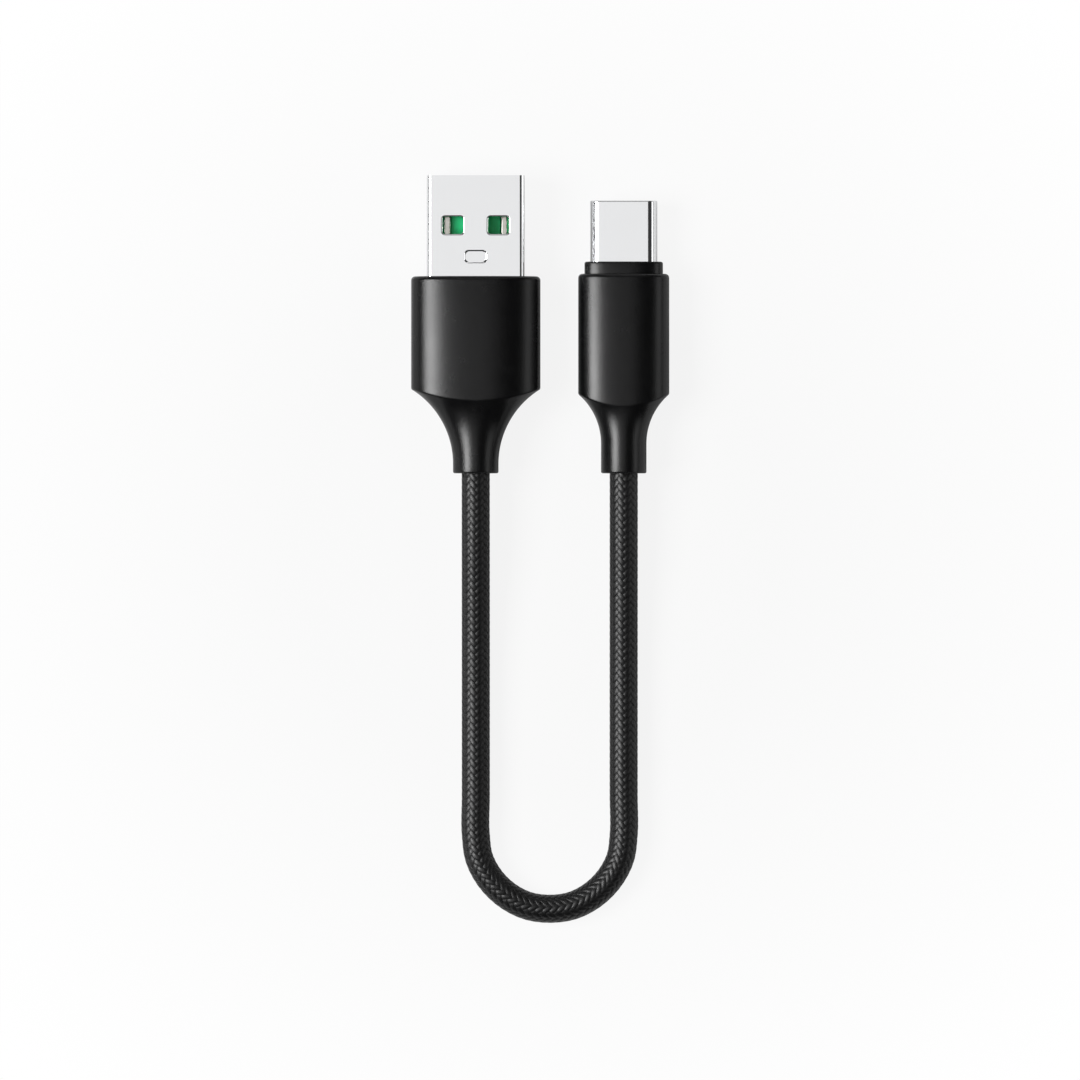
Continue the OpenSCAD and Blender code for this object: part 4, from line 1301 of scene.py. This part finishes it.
def make_braid():
    finish = new_finish("braid_fabric", (0.0012, 0.0012, 0.0013), 0.35, ior=1.45)
    split = add_node(finish.tree, "SeparateXYZ", {"Vector": finish.uv}).outputs
    wander = add_math(finish.tree, "MULTIPLY", add_noise(finish.tree, finish.uv, 3.0), 0.05)
    ridge = add_wave(finish, add_math(finish.tree, "ADD", split["X"], wander), FILAMENTS_ROUND)
    fuzz = use_group(finish, "grain", 16000.0)
    under = add_range(finish.tree, stored_mark(finish, "over"), 0.15, 0.85, 1.0, 0.0)
    vary_colour(finish, add_range(finish.tree, ridge, -1.0, 1.0), (0.005, 0.005, 0.0055), 0.5)
    vary_colour(finish, fuzz["Mottle"], (0.006, 0.006, 0.0065), 0.3)
    # Painted shade: the parts of each bundle that lie under their partners are darkened towards black.
    vary_colour(finish, under, (0.0008, 0.0008, 0.0008), 0.8)
    vary_roughness(finish, fuzz["Mottle"], 0.06)
    vary_roughness(finish, under, 0.4)
    raise_surface(finish, ridge, 0.35, 0.005 * MM)
    raise_surface(finish, fuzz["Height"], 0.15, 0.006 * MM)
    return finish.material


finishes["braid_fabric"] = make_braid()
print("finishes:", len(finishes))

# %% [markdown]
# ## Putting it together
# Every piece rides on a body of the frame, stands for its solid, and takes the finish named by its
# material slot. The two latch springs ride on the bodies of their own solids.

def dress(obj, slot, cad_node):
    """Gives a piece the finish named by its slot, hides the solid that it stands for, and seats it on its
    body.
    """
    obj.data.materials.clear()
    obj.data.materials.append(finishes[slot])
    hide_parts(cad_node)
    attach(obj, frame["nodes"][cad_node]["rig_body"])


dress(host_grip, "grip_plastic", "host_housing")
dress(reversible_grip, "grip_plastic", "reversible_housing")
dress(collar_mould, "collar_plastic", "reversible_inner_mould")
dress(host_shell, "shell_steel", "host_shell")
dress(drawn_shell, "shell_steel", "reversible_shell")
dress(right_hand_braid, "braid_fabric", "braided_sleeve")
dress(left_hand_braid, "braid_fabric", "braided_sleeve")
dress(cord_jacket, "jacket_rubber", "cord_jacket")
for node, piece in host_contacts.items():
    dress(piece, "contact_gold", node)
for node, piece in softened.items():
    dress(piece, SOFTENED[node][2], node)
for colour in WIRES:
    dress(insulation[colour], f"wire_{colour}", f"{colour}_wire")
    dress(cores[colour], "wire_copper", f"{colour}_wire_copper")

PATH_STEPS = 400
cord_path = beside(cord, np.linspace(BRAID_START, BRAID_END, PATH_STEPS))
print("cord declared with", 2 + len(insulation) + len(cores), "pieces on it")

# %% [markdown]
# ## The floor
# The floor is a wide pale disc with a rim. Far from the cable, the camera and glossy surfaces see it as
# plain white paper. Near the cable the camera sees a little of the real lit floor, which keeps a soft
# shadow, and glossy surfaces see mostly the lit floor, which keeps black plastic from turning pale.

# %% Lay the floor
FLOOR_R = 2.5
RIM_H = 0.2
FLOOR_SIDES = 96
FLOOR_DROP = 0.02 * MM
PAPER = 0.5
PAPER_GRAIN = 0.02
GRAIN_PER_METRE = 900.0
NEAR_SHARE = 0.88
NEAR_MIRROR_SHARE = 0.12
NEAR_EDGE = 0.03
FAR_EDGE = 0.09


def build_floor():
    floor_z = cad_box[0].z - FLOOR_DROP
    bpy.ops.object.select_all(action="DESELECT")
    bpy.ops.mesh.primitive_cylinder_add(
        vertices=FLOOR_SIDES, radius=FLOOR_R, depth=RIM_H, location=(0.0, 0.0, floor_z + RIM_H / 2))
    obj = bpy.context.object
    obj.name = "studio_floor"
    bpy.ops.object.transform_apply(location=True, rotation=True, scale=True)
    select_faces(obj, lambda face: face.normal.z > FACING)
    bpy.ops.mesh.delete(type="FACE")
    leave_edit()
    return obj


def make_paper():
    material = bpy.data.materials.new("floor_paper")
    material.use_nodes = True
    tree = material.node_tree
    tree.nodes.clear()
    place = add_node(tree, "TexCoord").outputs["Object"]
    centre = {0: place, 1: (0.0, VIEW_CENTRE.y, 0.0)}
    away = add_node(tree, "VectorMath", centre, operation="DISTANCE").outputs["Value"]
    pale, darker = ((level, level, level, 1.0) for level in (PAPER, PAPER - PAPER_GRAIN))
    grain = add_noise(tree, place, GRAIN_PER_METRE, 3.0)
    lit = add_node(tree, "BsdfDiffuse", {"Color": add_mix(tree, grain, pale, darker)}).outputs["BSDF"]
    glow = add_node(tree, "Emission").outputs["Emission"]
    ray = add_node(tree, "LightPath").outputs
    seen_share = add_range(tree, away, NEAR_EDGE, FAR_EDGE, NEAR_SHARE, 1.0)
    mirror_share = add_range(tree, away, NEAR_EDGE, FAR_EDGE, NEAR_MIRROR_SHARE, 1.0)
    mirrored = add_math(tree, "ADD", ray["Is Glossy Ray"], ray["Is Transmission Ray"], True)
    seen = add_math(tree, "MULTIPLY", ray["Is Camera Ray"], seen_share)
    white = add_math(tree, "ADD", seen, add_math(tree, "MULTIPLY", mirrored, mirror_share), True)
    shader = add_node(tree, "MixShader", {0: white, 1: lit, 2: glow}).outputs["Shader"]
    add_node(tree, "OutputMaterial", {"Surface": shader})
    return material


studio_floor = build_floor()
studio_floor.data.materials.append(make_paper())
print("floor radius", FLOOR_R, "m")

# %% [markdown]
# ## The lamps
# A large soft panel on the left makes the bright band down each grip and down the cord. A dimmer one beside
# it and another overhead show in the flat steel faces. A low one on the right draws a faint second band,
# and one beyond the tips lights the slopes that face it. Between them the studio is dark, which is what
# makes black plastic and steel look like what they are.

# %% Hang the panels
WORLD_LEVEL = 0.04


def hang_panel(name, tilt_deg, distance, wide, long, radiance, heading_deg=0.0):
    """A rectangular panel that faces the cable, tilt_deg from straight above it. heading_deg turns it round
    the vertical: 0 hangs it on the right, and 90 beyond the plugs' tips."""
    tilt = math.radians(tilt_deg)
    heading = math.radians(heading_deg)
    outward = distance * math.sin(tilt)
    place = (
        VIEW_CENTRE.x + outward * math.cos(heading), VIEW_CENTRE.y + outward * math.sin(heading),
        VIEW_LEVEL + distance * math.cos(tilt),
    )
    bpy.ops.object.light_add(type="AREA", location=place, rotation=(0.0, tilt, heading))
    lamp = bpy.context.object
    lamp.name = name
    lamp.data.shape = "RECTANGLE"
    lamp.data.size = wide
    lamp.data.size_y = long
    lamp.data.energy = radiance * math.pi * wide * long
    lamp.visible_camera = False
    return lamp


panels = [
    hang_panel("left_panel", -44.0, 0.8, 0.38, 0.46, 16.0),
    hang_panel("between_panel", -21.0, 0.9, 0.26, 0.5, 1.4),
    hang_panel("overhead_panel", -3.0, 1.0, 0.33, 0.6, 0.84),
    hang_panel("right_panel", 63.0, 0.8, 0.32, 0.6, 1.4),
    hang_panel("tip_panel", 55.0, 0.8, 0.3, 0.5, 0.8, heading_deg=90.0),
]
world = bpy.data.worlds.new("dim_studio")
world.use_nodes = True
world.node_tree.nodes["Background"].inputs["Color"].default_value = (1.0, 1.0, 1.0, 1.0)
world.node_tree.nodes["Background"].inputs["Strength"].default_value = WORLD_LEVEL
bpy.context.scene.world = world
print("lamps:", len(panels))
